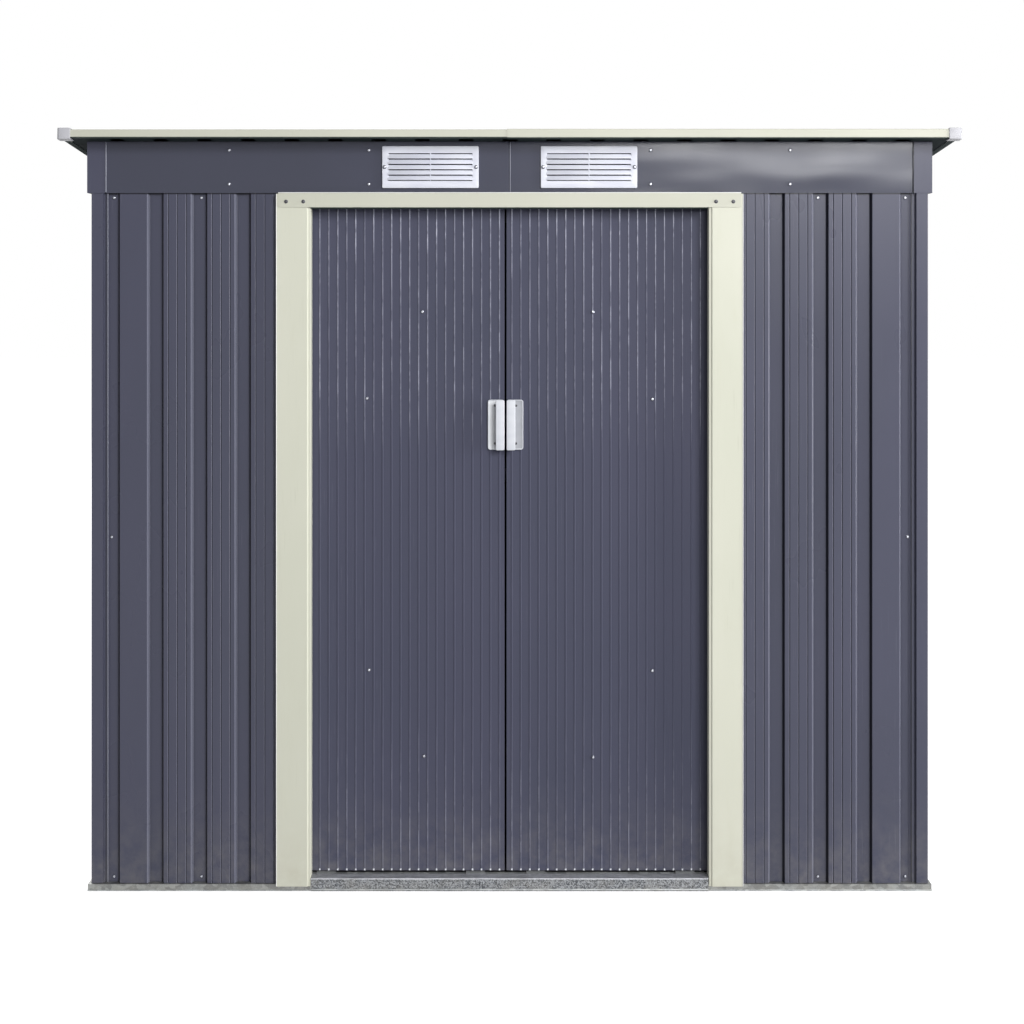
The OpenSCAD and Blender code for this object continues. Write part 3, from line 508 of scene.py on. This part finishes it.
def zinc_finish(name, dark, light, flakes, speckle, rough=(0.34, 0.5), metal=0.75, stretch=(9, 9, 60), tread_and_sheen=0.0):
    """Galvanised sheet: flakes, specks and faint streaks, and paler upward faces, partly trodden wear, partly painted
    sheen.
    """
    material, tree, shader = new_material(name)
    pattern = use(tree, spangle, Flakes=flakes, Speckle=speckle)
    flaked = blend_colour(tree, pattern.outputs["Tone"], dark, light)
    level = use(tree, primed, Outward=(0, 0, -1)).outputs["Mask"]
    # Faces that look up get paler, partly trodden wear and partly a painted sheen.
    flaked = blend_colour(tree, times(tree, level, tread_and_sheen), flaked, tone(214, 216, 222))
    streak = noise(tree, place_in(tree, stretch), detail=5.0, rough=0.7)
    streaked = blend_colour(tree, spread(tree, streak, 0.5, 0.7, 0.0, 0.5), flaked, dark)
    dusty = blend_colour(tree, use(tree, dust, Reach=0.12, Amount=0.4).outputs["Mask"], streaked, DUST)
    uneven = spread(tree, pattern.outputs["Tone"], 0, 1, rough[0], rough[1])
    relief = add(tree, "ShaderNodeBump", {"Height": pattern.outputs["Height"], "Distance": 1.0})
    connect(tree, shader, Base_Color=dusty, Roughness=uneven, Normal=relief.outputs[0])
    shader.inputs["Metallic"].default_value = metal
    return material


rail_zinc = zinc_finish("galvanised_rail", tone(109, 110, 110), tone(147, 149, 147), 90.0, 0.3)
sill_zinc = zinc_finish("galvanised_sill", tone(54, 57, 63), tone(153, 156, 160), 260.0, 1.1, rough=(0.4, 0.6),
                        stretch=(12, 60, 260), tread_and_sheen=0.55)
frame_zinc = zinc_finish("galvanised_frame", tone(140, 144, 146), tone(176, 179, 180), 70.0, 0.15)
print("zinc finishes:", [zinc.name for zinc in (rail_zinc, sill_zinc, frame_zinc)])

# %% [markdown]
# ## Plastic and screws
# The handles, the vents and the roof's corner caps are moulded in white plastic. A mould leaves a fine matt texture
# and slight flow marks. The screws are bright zinc on dark soft washers. Those on the lintel and the handles look
# dark in the photograph, so they get a blackened finish.

# %% Plastic
def plastic_finish(name, colour, shade, rough=0.38):
    """Moulded plastic with a fine matt texture and flow marks."""
    material, tree, shader = new_material(name)
    flow = noise(tree, place_in(tree, (14, 14, 40)), detail=3.0)
    tinted = blend_colour(tree, spread(tree, flow, 0.35, 0.7), colour, shade)
    grain = use(tree, skin, Scale=900.0, Depth=0.00003)
    speckled = blend_colour(tree, spread(tree, grain.outputs["Grain"], 0.3, 0.7, 0.0, 0.06), tinted, shade)
    uneven = spread(tree, flow, 0.3, 0.7, rough - 0.04, rough + 0.06)
    relief = add(tree, "ShaderNodeBump", {"Height": grain.outputs["Height"], "Distance": 1.0})
    connect(tree, shader, Base_Color=speckled, Roughness=uneven, Normal=relief.outputs[0])
    return material


handle_plastic = plastic_finish("white_handle_plastic", tone(201, 203, 209), tone(191, 194, 201), rough=0.3)
vent_plastic = plastic_finish("white_vent_plastic", tone(206, 208, 217), tone(196, 198, 210))
# A pale cream, painted highlight for the outer edges of the jambs and the top of the lintel.
highlight_cream = plastic_finish("cream_highlight_edge", tone(232, 232, 232), tone(222, 222, 220), rough=0.4)
cap_plastic = plastic_finish("white_cap_plastic", tone(177, 177, 182), tone(165, 165, 171))
# Handle recesses: the right one darker, painted shade, the left one lighter, painted light against its grip's shadow.
recess_light_and_shade = {
    "left": plastic_finish("white_recess_painted_light", tone(216, 218, 222), tone(208, 210, 214), rough=0.5),
    "right": plastic_finish("white_recess_painted_shade", tone(168, 170, 176), tone(160, 162, 168), rough=0.5)}
# The gliders are grey instead of white, painted shade so that they look dark where they show.
glider_shaded_plastic = plastic_finish("glider_shaded_plastic", tone(126, 128, 130), tone(108, 110, 112), rough=0.45)
washer_plastic = plastic_finish("washer_plastic", tone(50, 52, 66), tone(40, 42, 56), rough=0.42)
print("materials so far:", len(bpy.data.materials))

# %% Screw finishes
def screw_finish(name, dark, light, rough):
    """Plated screw steel with small worn spots."""
    material, tree, shader = new_material(name)
    worn = noise(tree, place_in(tree, (1, 1, 1)), 700.0, 4.0)
    mixed = blend_colour(tree, spread(tree, worn, 0.4, 0.65), dark, light)
    uneven = spread(tree, worn, 0.3, 0.7, rough, rough + 0.14)
    connect(tree, shader, Base_Color=mixed, Roughness=uneven)
    shader.inputs["Metallic"].default_value = 0.9
    return material


bright_steel = screw_finish("bright_screw_steel", tone(150, 152, 160), tone(200, 202, 210), 0.22)
dark_steel = screw_finish("dark_screw_steel", tone(52, 52, 56), tone(104, 104, 106), 0.34)
print("screw finishes:", [steel.name for steel in (bright_steel, dark_steel)])

# %% [markdown]
# ## Dressing the sheets
# Every node of the frame gets its finish by its name. The shape is already right, so nothing else is touched.

# %% Dress the nodes
def dress(material, *names):
    """Gives CAD nodes their finish."""
    for name in names:
        shed[name].data.materials.clear()
        shed[name].data.materials.append(material)


ROOF_PANELS = [f"roof_panel_{k}" for k in (1, 2, 3, 4)]
for side in SIDES:
    dress(wall_paint["front"], "front_wall_" + side)
    dress(wall_paint[side], side + "_wall")
    dress(header_paint, "header_" + side)
    dress(corner_paint, "gable_" + side, "corner_post_front_" + side, "corner_post_back_" + side)
    dress(door_paints[side], side + "_door_panel")
    dress(frame_zinc, side + "_door_frame")
    dress(glider_shaded_plastic, side + "_door_gliders")
    dress(cream_upright, "door_jamb_" + side)
    dress(cream_side, "roof_trim_" + side)
dress(wall_paint["back"], "back_wall")
dress(roof_paint, *ROOF_PANELS)
dress(cream_level, "door_lintel", "roof_trim_front", "roof_trim_back")
dress(rail_zinc, "base_rail_front", "base_rail_back", "base_rail_left", "base_rail_right")
dress(sill_zinc, "door_sill")
dress(frame_zinc, "wall_braces", "top_rails", "door_track", "door_guide_rail", "roof_beam")
print("dressed:", len([node for node in shed.values() if node.data.materials[0].name in bpy.data.materials]))

# %% [markdown]
# ## Hands for modelling
# New pieces are made as by hand: add a primitive at its size and place, go into edit mode, select faces or edges by
# where they are, and extrude, inset or bevel them. These helpers do the selecting, because a script has no mouse.

# %% Modelling helpers
def only(piece):
    """Selects one piece and nothing else."""
    bpy.ops.object.select_all(action="DESELECT")
    piece.select_set(True)
    bpy.context.view_layer.objects.active = piece


def settle(piece):
    """Puts a piece's place, turn and size into its mesh."""
    only(piece)
    bpy.ops.object.transform_apply(location=True, rotation=True, scale=True)


def block(name, low, high):
    """A cube stretched between two corners, as the start of a piece."""
    low, high = Vector(low), Vector(high)
    bpy.ops.mesh.primitive_cube_add(size=1, location=(low + high) / 2)
    piece = bpy.context.object
    piece.name = name
    piece.scale = high - low
    settle(piece)
    return piece


def cylinder(sides, radius, depth, place, turn=(0, 0, 0)):
    """A cylinder at its size and place, as the start of a round piece."""
    bpy.ops.mesh.primitive_cylinder_add(vertices=sides, radius=radius, depth=depth, rotation=turn, location=place)
    piece = bpy.context.object
    settle(piece)
    return piece


def edit(piece, mode, test):
    """Opens a piece in edit mode with the faces or edges selected that pass a test."""
    only(piece)
    bpy.ops.object.mode_set(mode="EDIT")
    bpy.ops.mesh.select_mode(type=mode)
    bpy.ops.mesh.select_all(action="DESELECT")
    mesh = bmesh.from_edit_mesh(piece.data)
    for part in mesh.faces if mode == "FACE" else mesh.edges:
        if test(part):
            part.select_set(True)
    bmesh.update_edit_mesh(piece.data)


def done():
    """Leaves edit mode."""
    bpy.ops.object.mode_set(mode="OBJECT")


def looks(face, *way):
    """Whether a face looks a given way."""
    return face.normal.dot(Vector(way)) > 0.95


def runs(edge, axis):
    """Whether an edge runs along an axis: 0, 1 or 2."""
    way = edge.verts[1].co - edge.verts[0].co
    return abs(way[axis]) > 0.99 * way.length


def bevel(piece, mode, test, width, segments):
    """Rounds the edges that pass a test, or the rims of the faces that do."""
    edit(piece, mode, test)
    bpy.ops.mesh.bevel(offset=width, segments=segments, affect="EDGES")
    done()


def soften(piece, width, segments=2, angle=35):
    """Rounds the sharp edges with a bevel, and shades the rest smooth."""
    only(piece)
    rounding = piece.modifiers.new("rounding", "BEVEL")
    rounding.width, rounding.segments, rounding.limit_method = width, segments, "ANGLE"
    rounding.angle_limit = radians(angle)
    bpy.ops.object.modifier_apply(modifier="rounding")
    bpy.ops.object.shade_smooth_by_angle(angle=radians(40))
    return piece


def joined(name, pieces):
    """Joins pieces into one, under a new name."""
    only(pieces[0])
    for piece in pieces:
        piece.select_set(True)
    bpy.ops.object.join()
    piece = bpy.context.object
    piece.name = piece.data.name = name
    return piece


def finish_piece(piece, material, body, slot, *nodes):
    """Gives a piece its finish, unless it has one, its body and the nodes it stands for."""
    if material:
        piece.data.materials.clear()
        piece.data.materials.append(material)
    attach(piece, body)
    if nodes:
        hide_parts(*nodes)
    print(piece.name, "faces:", len(piece.data.polygons))


print("helpers ready")

# %% [markdown]
# ## The louvred vents
# Each vent is a moulded frame with five sloping blades and a mullion behind them. The frame is a block that is inset
# on both sides and bridged, which cuts its window, and whose outer corners are then rounded. A blade starts as a thin
# upright block whose foot is pulled forward, so that rain runs off and the slot below the next blade falls into
# shadow. A low boss at each end carries a screw.

# %% Vent
VENT_DEPTH = 0.0048
VENT_RIM = 0.015
VENT_BROW = 0.017
BLADES = 5
SLOT = 0.002
TUCK = 0.001
BLADE_FRONT, BLADE_BACK = 0.0022, 0.0008
MULLION_HALF, MULLION_FRONT, MULLION_BACK = 0.0014, 0.0046, 0.0006
BOSS_INSET, BOSS_DEPTH = 0.006, 0.0051


def vent_frame(low, high):
    """The rim: a rounded block with a window."""
    rim = block("vent_frame", (low[0], high[1] - VENT_DEPTH, low[2]), high)
    edit(rim, "FACE", lambda face: looks(face, 0, -1, 0) or looks(face, 0, 1, 0))
    bpy.ops.mesh.inset(thickness=VENT_RIM)
    extra = (VENT_BROW - VENT_RIM) * 2 / (high[2] - low[2] - 2 * VENT_RIM)
    bpy.ops.transform.resize(value=(1, 1, 1 - extra), center_override=(low + high) / 2)
    bpy.ops.mesh.bridge_edge_loops()
    done()
    bevel(rim, "EDGE", lambda edge: runs(edge, 1) and edge.verts[0].co.x in (low[0], high[0]), 0.003, 4)
    return soften(rim, 0.0009, 3)


def vent_blade(low, high, foot, rise):
    """One blade: its foot is pulled forward."""
    blade = block("blade", (low[0] + VENT_RIM - TUCK, high[1] - BLADE_FRONT, foot),
                  (high[0] - VENT_RIM + TUCK, high[1] - BLADE_BACK, foot + rise))
    edit(blade, "FACE", lambda face: looks(face, 0, 0, -1))
    bpy.ops.transform.translate(value=(0, low[1] - high[1] + BLADE_FRONT, 0))
    done()
    return soften(blade, 0.0005, 2)


def louvred_vent(side):
    """A vent in the place of its CAD node."""
    low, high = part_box("vent_" + side)
    window = high[2] - low[2] - 2 * VENT_BROW
    rise = (window - SLOT) / BLADES - SLOT
    parts = [vent_frame(low, high)]
    for k in range(BLADES):
        parts.append(vent_blade(low, high, low[2] + VENT_BROW + SLOT + k * (rise + SLOT), rise))
    middle, level = (low[0] + high[0]) / 2, (low[2] + high[2]) / 2
    mullion = block("mullion", (middle - MULLION_HALF, high[1] - MULLION_FRONT, low[2] + VENT_BROW - TUCK),
                    (middle + MULLION_HALF, high[1] - MULLION_BACK, high[2] - VENT_BROW + TUCK))
    parts.append(soften(mullion, 0.0005, 2))
    for end_x in (low[0] + BOSS_INSET, high[0] - BOSS_INSET):
        boss = cylinder(24, 0.0052, 0.0012, (end_x, high[1] - BOSS_DEPTH, level), (radians(90), 0, 0))
        parts.append(soften(boss, 0.0004, 2))
    vent = joined("louvred_vent_" + side, parts)
    finish_piece(vent, vent_plastic, "shed", "white_plastic", "vent_" + side)
    return vent


vents = {side: louvred_vent(side) for side in SIDES}
print("vents:", [tuple(round(size, 4) for size in vent.dimensions) for vent in vents.values()])

# %% [markdown]
# ## The door handles
# A handle is a screwed plate with a raised rim and a grip along the edge where the doors meet. The fingers go behind
# the grip from the outer side. The plate's rim comes from an inset whose middle is pushed back, and the grip is a bar
# and a web, both rounded, so that the pale edges catch the light as they do in the photograph.

# %% Handles
PLATE_DEPTH, PLATE_CORNER = 0.0045, 0.006
RIM_WIDTH, RECESS = 0.0023, 0.0018
GRIP_WIDTH, GRIP_DEPTH, GRIP_CORNER = 0.021, 0.0042, 0.0032
WEB_WIDTH, WEB_FRONT, WEB_BACK, WEB_END = 0.0032, 0.0012, 0.0005, 0.006


def handle_plate(side, low, high):
    """The screwed plate: a rounded block whose middle is pushed back inside a rim."""
    plate = block("plate", (low[0], high[1] - PLATE_DEPTH, low[2]), high)
    bevel(plate, "EDGE", lambda edge: runs(edge, 1), PLATE_CORNER, 5)
    plate.data.materials.append(handle_plastic)
    # The recess takes its own tone: painted shade on the right handle, painted light on the left.
    plate.data.materials.append(recess_light_and_shade[side])
    edit(plate, "FACE", lambda face: looks(face, 0, -1, 0))
    bpy.ops.mesh.inset(thickness=RIM_WIDTH)
    bpy.ops.mesh.extrude_region_move(TRANSFORM_OT_translate={"value": (0, RECESS, 0)})
    plate.active_material_index = 1
    bpy.ops.object.material_slot_assign()
    done()
    return soften(plate, 0.0005, 3)


def handle(side):
    """A handle in the place of its CAD node."""
    low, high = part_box(side + "_door_handle")
    inner, way = (high[0], -1) if side == "left" else (low[0], 1)
    plate = handle_plate(side, low, high)
    near, far = sorted((inner, inner + way * GRIP_WIDTH))
    grip = block("grip", (near, low[1], low[2]), (far, low[1] + GRIP_DEPTH, high[2]))
    bevel(grip, "EDGE", lambda edge: runs(edge, 1), GRIP_CORNER, 4)
    soften(grip, 0.0016, 4)
    near, far = sorted((inner, inner + way * WEB_WIDTH))
    web = block("web", (near, low[1] + WEB_FRONT, low[2] + WEB_END), (far, high[1] - WEB_BACK, high[2] - WEB_END))
    soften(web, 0.0009, 2)
    for part in (grip, web):
        part.data.materials.append(handle_plastic)
    piece = joined("door_handle_" + side, [plate, grip, web])
    finish_piece(piece, None, side + "_door", "white_plastic", side + "_door_handle")
    return piece


handles = {side: handle(side) for side in SIDES}
print("handles:", [tuple(round(size, 4) for size in piece.dimensions) for piece in handles.values()])

# %% [markdown]
# ## The corner caps
# Four moulded caps close the corners of the roof trim. Their shape in the frame is right but its edges are knife
# sharp. A copy of the node is merged, because its triangles are loose, then its edges are rounded.

# %% Corner caps
def copy_of(node, name):
    """A merged copy of a CAD node's mesh as a new piece."""
    piece = new_object(name, shed[node].data.copy())
    only(piece)
    bpy.ops.object.mode_set(mode="EDIT")
    bpy.ops.mesh.select_all(action="SELECT")
    bpy.ops.mesh.remove_doubles(threshold=0.00001)
    bpy.ops.mesh.dissolve_limited(angle_limit=radians(1))
    done()
    return piece


caps = soften(copy_of("roof_corner_caps", "corner_caps_moulded"), 0.0009, 3, angle=50)
finish_piece(caps, cap_plastic, "shed", "white_plastic", "roof_corner_caps")

# %% [markdown]
# ## Hems
# Where a gable band or a corner post turns onto the front, its raw edge is folded back on itself, as on any sheet that
# hands can touch. The left ones are painted pale, a painted highlight, and the right ones dark, a painted shade. The
# header's two halves meet in such a hem too, painted pale as a highlight. The outer edges of the jambs and the top of
# the lintel get a lighter cream, a painted highlight, and the feet of the sill and the base rails end in bare zinc.
# Each hem is a slim bead with rounded edges, whose back and ends are tucked into the sheet, and catches the light as a
# thin line.

# %% Hems
# Painted highlight and painted shade: a pale slate for edges that face the lamps and a dark one for edges in shade.
highlight_edge_paint = painted_sheet("slate_highlight_edge", tone(128, 130, 142), tone(100, 102, 116), (0, 0, 1), UPRIGHT, 0.0)
shade_edge_paint = painted_sheet("slate_shade_edge", tone(30, 31, 42), tone(24, 25, 34), (0, 0, 1), UPRIGHT, 0.0)
edge_paint = {"left": highlight_edge_paint, "right": shade_edge_paint}
TUCKED = 0.0004
PROUD = 0.0010
GABLE_BEAD, POST_BEAD, JAMB_BEAD, LINTEL_BEAD = 0.0016, 0.0010, 0.0016, 0.0018
SILL_HEM = (0.0034, 0.0072)
HEM_TOP = HEADER_TOP - 0.0012
POST_GAP = 0.0020


def hem(name, low, high, material, slot="slate_steel_sheet", width=0.0006):
    """A slim rounded bead between two corners."""
    bead = soften(block(name, low, high), width, 3)
    finish_piece(bead, material, "shed", slot)


for side in SIDES:
    (low, high), (post_low, post_high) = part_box("gable_" + side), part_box("corner_post_front_" + side)
    edge, post_edge = (high[0], post_high[0]) if side == "left" else (low[0], post_low[0])
    hem("gable_hem_" + side, (edge - GABLE_BEAD, low[1] - GABLE_BEAD, low[2] + TUCKED),
        (edge + GABLE_BEAD, low[1] + TUCKED, HEM_TOP), edge_paint[side], width=0.0009)
    hem("post_hem_" + side, (post_edge - POST_BEAD, post_low[1] - PROUD, post_low[2] + POST_GAP),
        (post_edge + POST_BEAD, post_low[1] + 0.0014, HEADER_FOOT - POST_GAP), edge_paint[side])
hem("header_hem", (0.0002, HEADER_FACE - PROUD, HEADER_FOOT + TUCKED), (0.0022, HEADER_FACE + TUCKED, HEM_TOP),
    highlight_edge_paint)

# %% Hems of the doorway and the rails
for side in SIDES:
    low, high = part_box("door_jamb_" + side)
    near, far = (low[0], low[0] + JAMB_BEAD) if side == "left" else (high[0] - JAMB_BEAD, high[0])
    hem("jamb_hem_" + side, (near, low[1] - PROUD, low[2] + TUCKED), (far, low[1] + TUCKED, high[2] - TUCKED),
        highlight_cream, "cream_steel_trim")
low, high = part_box("door_lintel")
hem("lintel_hem", (low[0] + TUCKED, low[1] - PROUD, high[2] - LINTEL_BEAD),
    (high[0] - TUCKED, low[1] + TUCKED, high[2]), highlight_cream, "cream_steel_trim")
low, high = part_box("door_sill")
hem("sill_hem", (low[0] + TUCKED, low[1] - 0.0014, SILL_HEM[0]), (high[0] - TUCKED, low[1] + TUCKED, SILL_HEM[1]),
    frame_zinc, "galvanised_steel", 0.0009)

RAIL_PROUD, RAIL_HEM_TOP = 0.0012, 0.0042
for end_name, axis, way in (("front", 1, -1), ("back", 1, 1), ("left", 0, -1), ("right", 0, 1)):
    low, high = (Vector(corner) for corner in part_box("base_rail_" + end_name))
    face = low[axis] if way < 0 else high[axis]
    low[axis], high[axis] = sorted((face, face + way * RAIL_PROUD))
    low[2], high[2] = TUCKED, RAIL_HEM_TOP
    hem("rail_hem_" + end_name, low, high, frame_zinc, "galvanised_steel", 0.0005)

# %% [markdown]
# ## The screws
# The sheets are held by 180 self-tapping screws. One pan head with a cross recess is modelled once, with few faces,
# and so is its washer. A straight line from outside finds the sheet that carries each screw, so that every head sits
# on metal and never floats or sinks. The heads are turned by different angles, as driven screws are.

# %% One screw and one washer
HEAD_RADIUS, HEAD_HEIGHT = 0.003, 0.002
CROSS_LENGTH, CROSS_WIDTH = HEAD_RADIUS * 0.62, 0.00042
WASHER_RADIUS, WASHER_HEIGHT = 0.0046, 0.001


def button(sides, radius, height, rounding):
    """A disc with a domed top that looks up, on the ground at the origin."""
    piece = cylinder(sides, radius, height, (0, 0, height / 2))
    bevel(piece, "FACE", lambda face: looks(face, 0, 0, 1), rounding, 2)
    return piece


def screw_head():
    """A pan head with a cross recess."""
    head = button(16, HEAD_RADIUS, HEAD_HEIGHT, HEAD_HEIGHT * 0.55)
    for x, y in ((CROSS_LENGTH, CROSS_WIDTH), (CROSS_WIDTH, CROSS_LENGTH)):
        cutter = block("cross", (-x, -y, HEAD_HEIGHT * 0.45), (x, y, HEAD_HEIGHT * 1.5))
        only(head)
        cut = head.modifiers.new("cross", "BOOLEAN")
        cut.object, cut.operation, cut.solver = cutter, "DIFFERENCE", "EXACT"
        bpy.ops.object.modifier_apply(modifier="cross")
        bpy.data.objects.remove(cutter)
    bpy.ops.object.shade_smooth_by_angle(angle=radians(35))
    return head


def washer_disc():
    """A soft washer under a head."""
    disc = button(18, WASHER_RADIUS, WASHER_HEIGHT, WASHER_HEIGHT * 0.7)
    bpy.ops.object.shade_smooth_by_angle(angle=radians(40))
    return disc


head_model = screw_head()
washer_model = washer_disc()
print("head faces:", len(head_model.data.polygons), "washer faces:", len(washer_model.data.polygons))

# %% Finding the sheet and setting the screws
def seat_on(nodes, start, way):
    """Where a line from a start meets the nearest of some CAD nodes, and which way that face looks."""
    start, way = Vector(start), Vector(way)
    found = []
    for name in nodes:
        hit, place, normal, _ = shed[name].ray_cast(start, way)
        if hit:
            found.append(((place - start).length, place, normal))
    if not found:
        raise ValueError(f"no sheet of {nodes} in front of {tuple(start)}")
    return min(found, key=lambda one: one[0])[1:]


def copies(model, name, seats, lift=0.0):
    """One piece made of copies of a model, each with its own mesh, set on seats."""
    parts = []
    for k, (place, normal) in enumerate(seats):
        part = new_object(name, model.data.copy())
        turn = Vector(normal).to_track_quat("Z", "Y").to_matrix().to_4x4()
        spin = Matrix.Rotation(k * 2.4 + len(seats), 4, "Z")
        part.data.transform(Matrix.Translation(place + normal * lift) @ turn @ spin)
        parts.append(part)
    return joined(name, parts)


def place_screws(name, body, seats, steel, washers):
    """Screws, with or without washers under their heads, on seats."""
    heads = copies(head_model, "screws_" + name, seats, WASHER_HEIGHT if washers else 0.0)
    finish_piece(heads, steel, body, "galvanised_steel")
    if washers:
        finish_piece(copies(washer_model, "washers_" + name, seats), washer_plastic, body, "galvanised_steel")


def set_screws(name, nodes, starts, way, body="shed", steel=bright_steel, washers=True):
    """Screws where lines from the starts meet the nodes."""
    place_screws(name, body, [seat_on(nodes, start, way) for start in starts], steel, washers)


# %% Screws of the front
MM = 0.001
FRONT = -0.9
TO_BACK = (0, 1, 0)

starts = [(x * MM, FRONT, z * MM) for x in (-669, -336, 336, 669) for z in (1685, 1766)]
set_screws("header", ["header_left", "header_right"], starts, TO_BACK)

nodes = ["front_wall_left", "front_wall_right", "corner_post_front_left", "corner_post_front_right"]
starts = [(side * x * MM, FRONT, z * MM) for side in (-1, 1) for x, z in
          ((946, 1653), (737, 1653), (952, 842), (946, 30), (737, 30))]
set_screws("front_wall", nodes, starts, TO_BACK)

starts = [(side * x * MM, FRONT, 1.643) for side in (-1, 1) for x in (491, 532)]
set_screws("lintel", ["door_lintel"], starts, TO_BACK, steel=dark_steel)

# %% [markdown]
# The screws of the vents and handles sit on pieces that were made here and not on CAD nodes. Their places follow from
# the boxes of those pieces.

# %% Screws of the doors, vents and handles
DOOR_SCREWS = {"left": [(-210, 1380), (-343, 1172), (-338, 519), (-206, 312)],
               "right": [(200, 1380), (343, 1170), (343, 517), (200, 309)]}
for side, places in DOOR_SCREWS.items():
    starts = [(x * MM, FRONT, z * MM) for x, z in places]
    set_screws(side + "_door", [side + "_door_panel"], starts, TO_BACK, side + "_door")


def front_seats(places):
    """Seats at known places on the front of a piece."""
    return [(Vector(place), Vector((0, -1, 0))) for place in places]


BOSS_FACE = 0.0056
PLATE_FACE, PLATE_SCREW_X, PLATE_SCREW_ROWS = 0.0029, 0.0172, (1.1550, 1.0640)
for side in SIDES:
    low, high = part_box("vent_" + side)
    level = (low[2] + high[2]) / 2
    seats = front_seats([(x, high[1] - BOSS_FACE, level) for x in (low[0] + BOSS_INSET, high[0] - BOSS_INSET)])
    place_screws("vent_" + side, "shed", seats, bright_steel, washers=True)
    low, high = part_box(side + "_door_handle")
    x = low[0] + PLATE_SCREW_X if side == "left" else high[0] - PLATE_SCREW_X
    seats = front_seats([(x, high[1] - PLATE_FACE, z) for z in PLATE_SCREW_ROWS])
    place_screws("handle_" + side, side + "_door", seats, dark_steel, washers=False)

# %% [markdown]
# The sides and the back can't be seen in the photograph. They follow the pattern of the front: a row at the foot, one
# at the middle brace and one under the roof, always in the valleys between the ribs.

# %% Screws of the sides and back
SIDE_VALLEYS = [k * 0.2178 for k in range(-2, 3)]
BACK_VALLEYS = [k * 0.2113 for k in range(-4, 5)]
POST_Y, POST_X = 0.541, 0.949
ROWS = (0.030, 0.842, 1.650)
GABLE_SCREWS = ((-0.52, 1.677), (-0.26, 1.677), (0.0, 1.677), (0.26, 1.677),
                (-0.52, 1.755), (-0.26, 1.733), (0.0, 1.711), (0.5, 1.674))
OUTSIDE = 1.3

for side, way in (("left", 1), ("right", -1)):
    starts = [(-way * OUTSIDE, y, z) for z in ROWS for y in [-POST_Y] + SIDE_VALLEYS + [POST_Y]]
    nodes = [side + "_wall", "corner_post_front_" + side, "corner_post_back_" + side]
    set_screws(side + "_wall", nodes, starts, (way, 0, 0))
    starts = [(-way * OUTSIDE, y, z) for y, z in GABLE_SCREWS]
    set_screws(side + "_gable", ["gable_" + side], starts, (way, 0, 0))

starts = [(x, OUTSIDE, z) for z in ROWS for x in [-POST_X] + BACK_VALLEYS + [POST_X]]
set_screws("back_wall", ["back_wall", "corner_post_back_left", "corner_post_back_right"], starts, (0, -1, 0))

# %% Screws of the roof
ABOVE = 2.0
DOWN = (0, 0, -1)
RIB_PITCH = 0.104
TRIM_X, TRIM_Y = 1.054, 0.638
places = [(k * RIB_PITCH, y) for k in (-9, -7, -5, -3, -1, 0, 1, 3, 5, 7, 9) for y in (-0.56, 0.0, 0.56)]
places += [(k * RIB_PITCH, y) for k in (-5, 0, 5) for y in (-0.28, 0.28)]
set_screws("roof", ROOF_PANELS, [(x, y, ABOVE) for x, y in places], DOWN)
starts = [(x, TRIM_Y, ABOVE) for x in (-0.93, -0.55, -0.18, 0.18, 0.55, 0.93)]
set_screws("back_trim", ["roof_trim_back"], starts, DOWN, washers=False)
for side, x in (("left", -TRIM_X), ("right", TRIM_X)):
    starts = [(x, y, ABOVE) for y in (-0.42, 0.0, 0.42)]
    set_screws(side + "_trim", ["roof_trim_" + side], starts, DOWN, washers=False)

for model in (head_model, washer_model):
    bpy.data.objects.remove(model)

# %% [markdown]
# ## The end
# The last cell prints that the script has run.

# %% Finish
print("script finished")
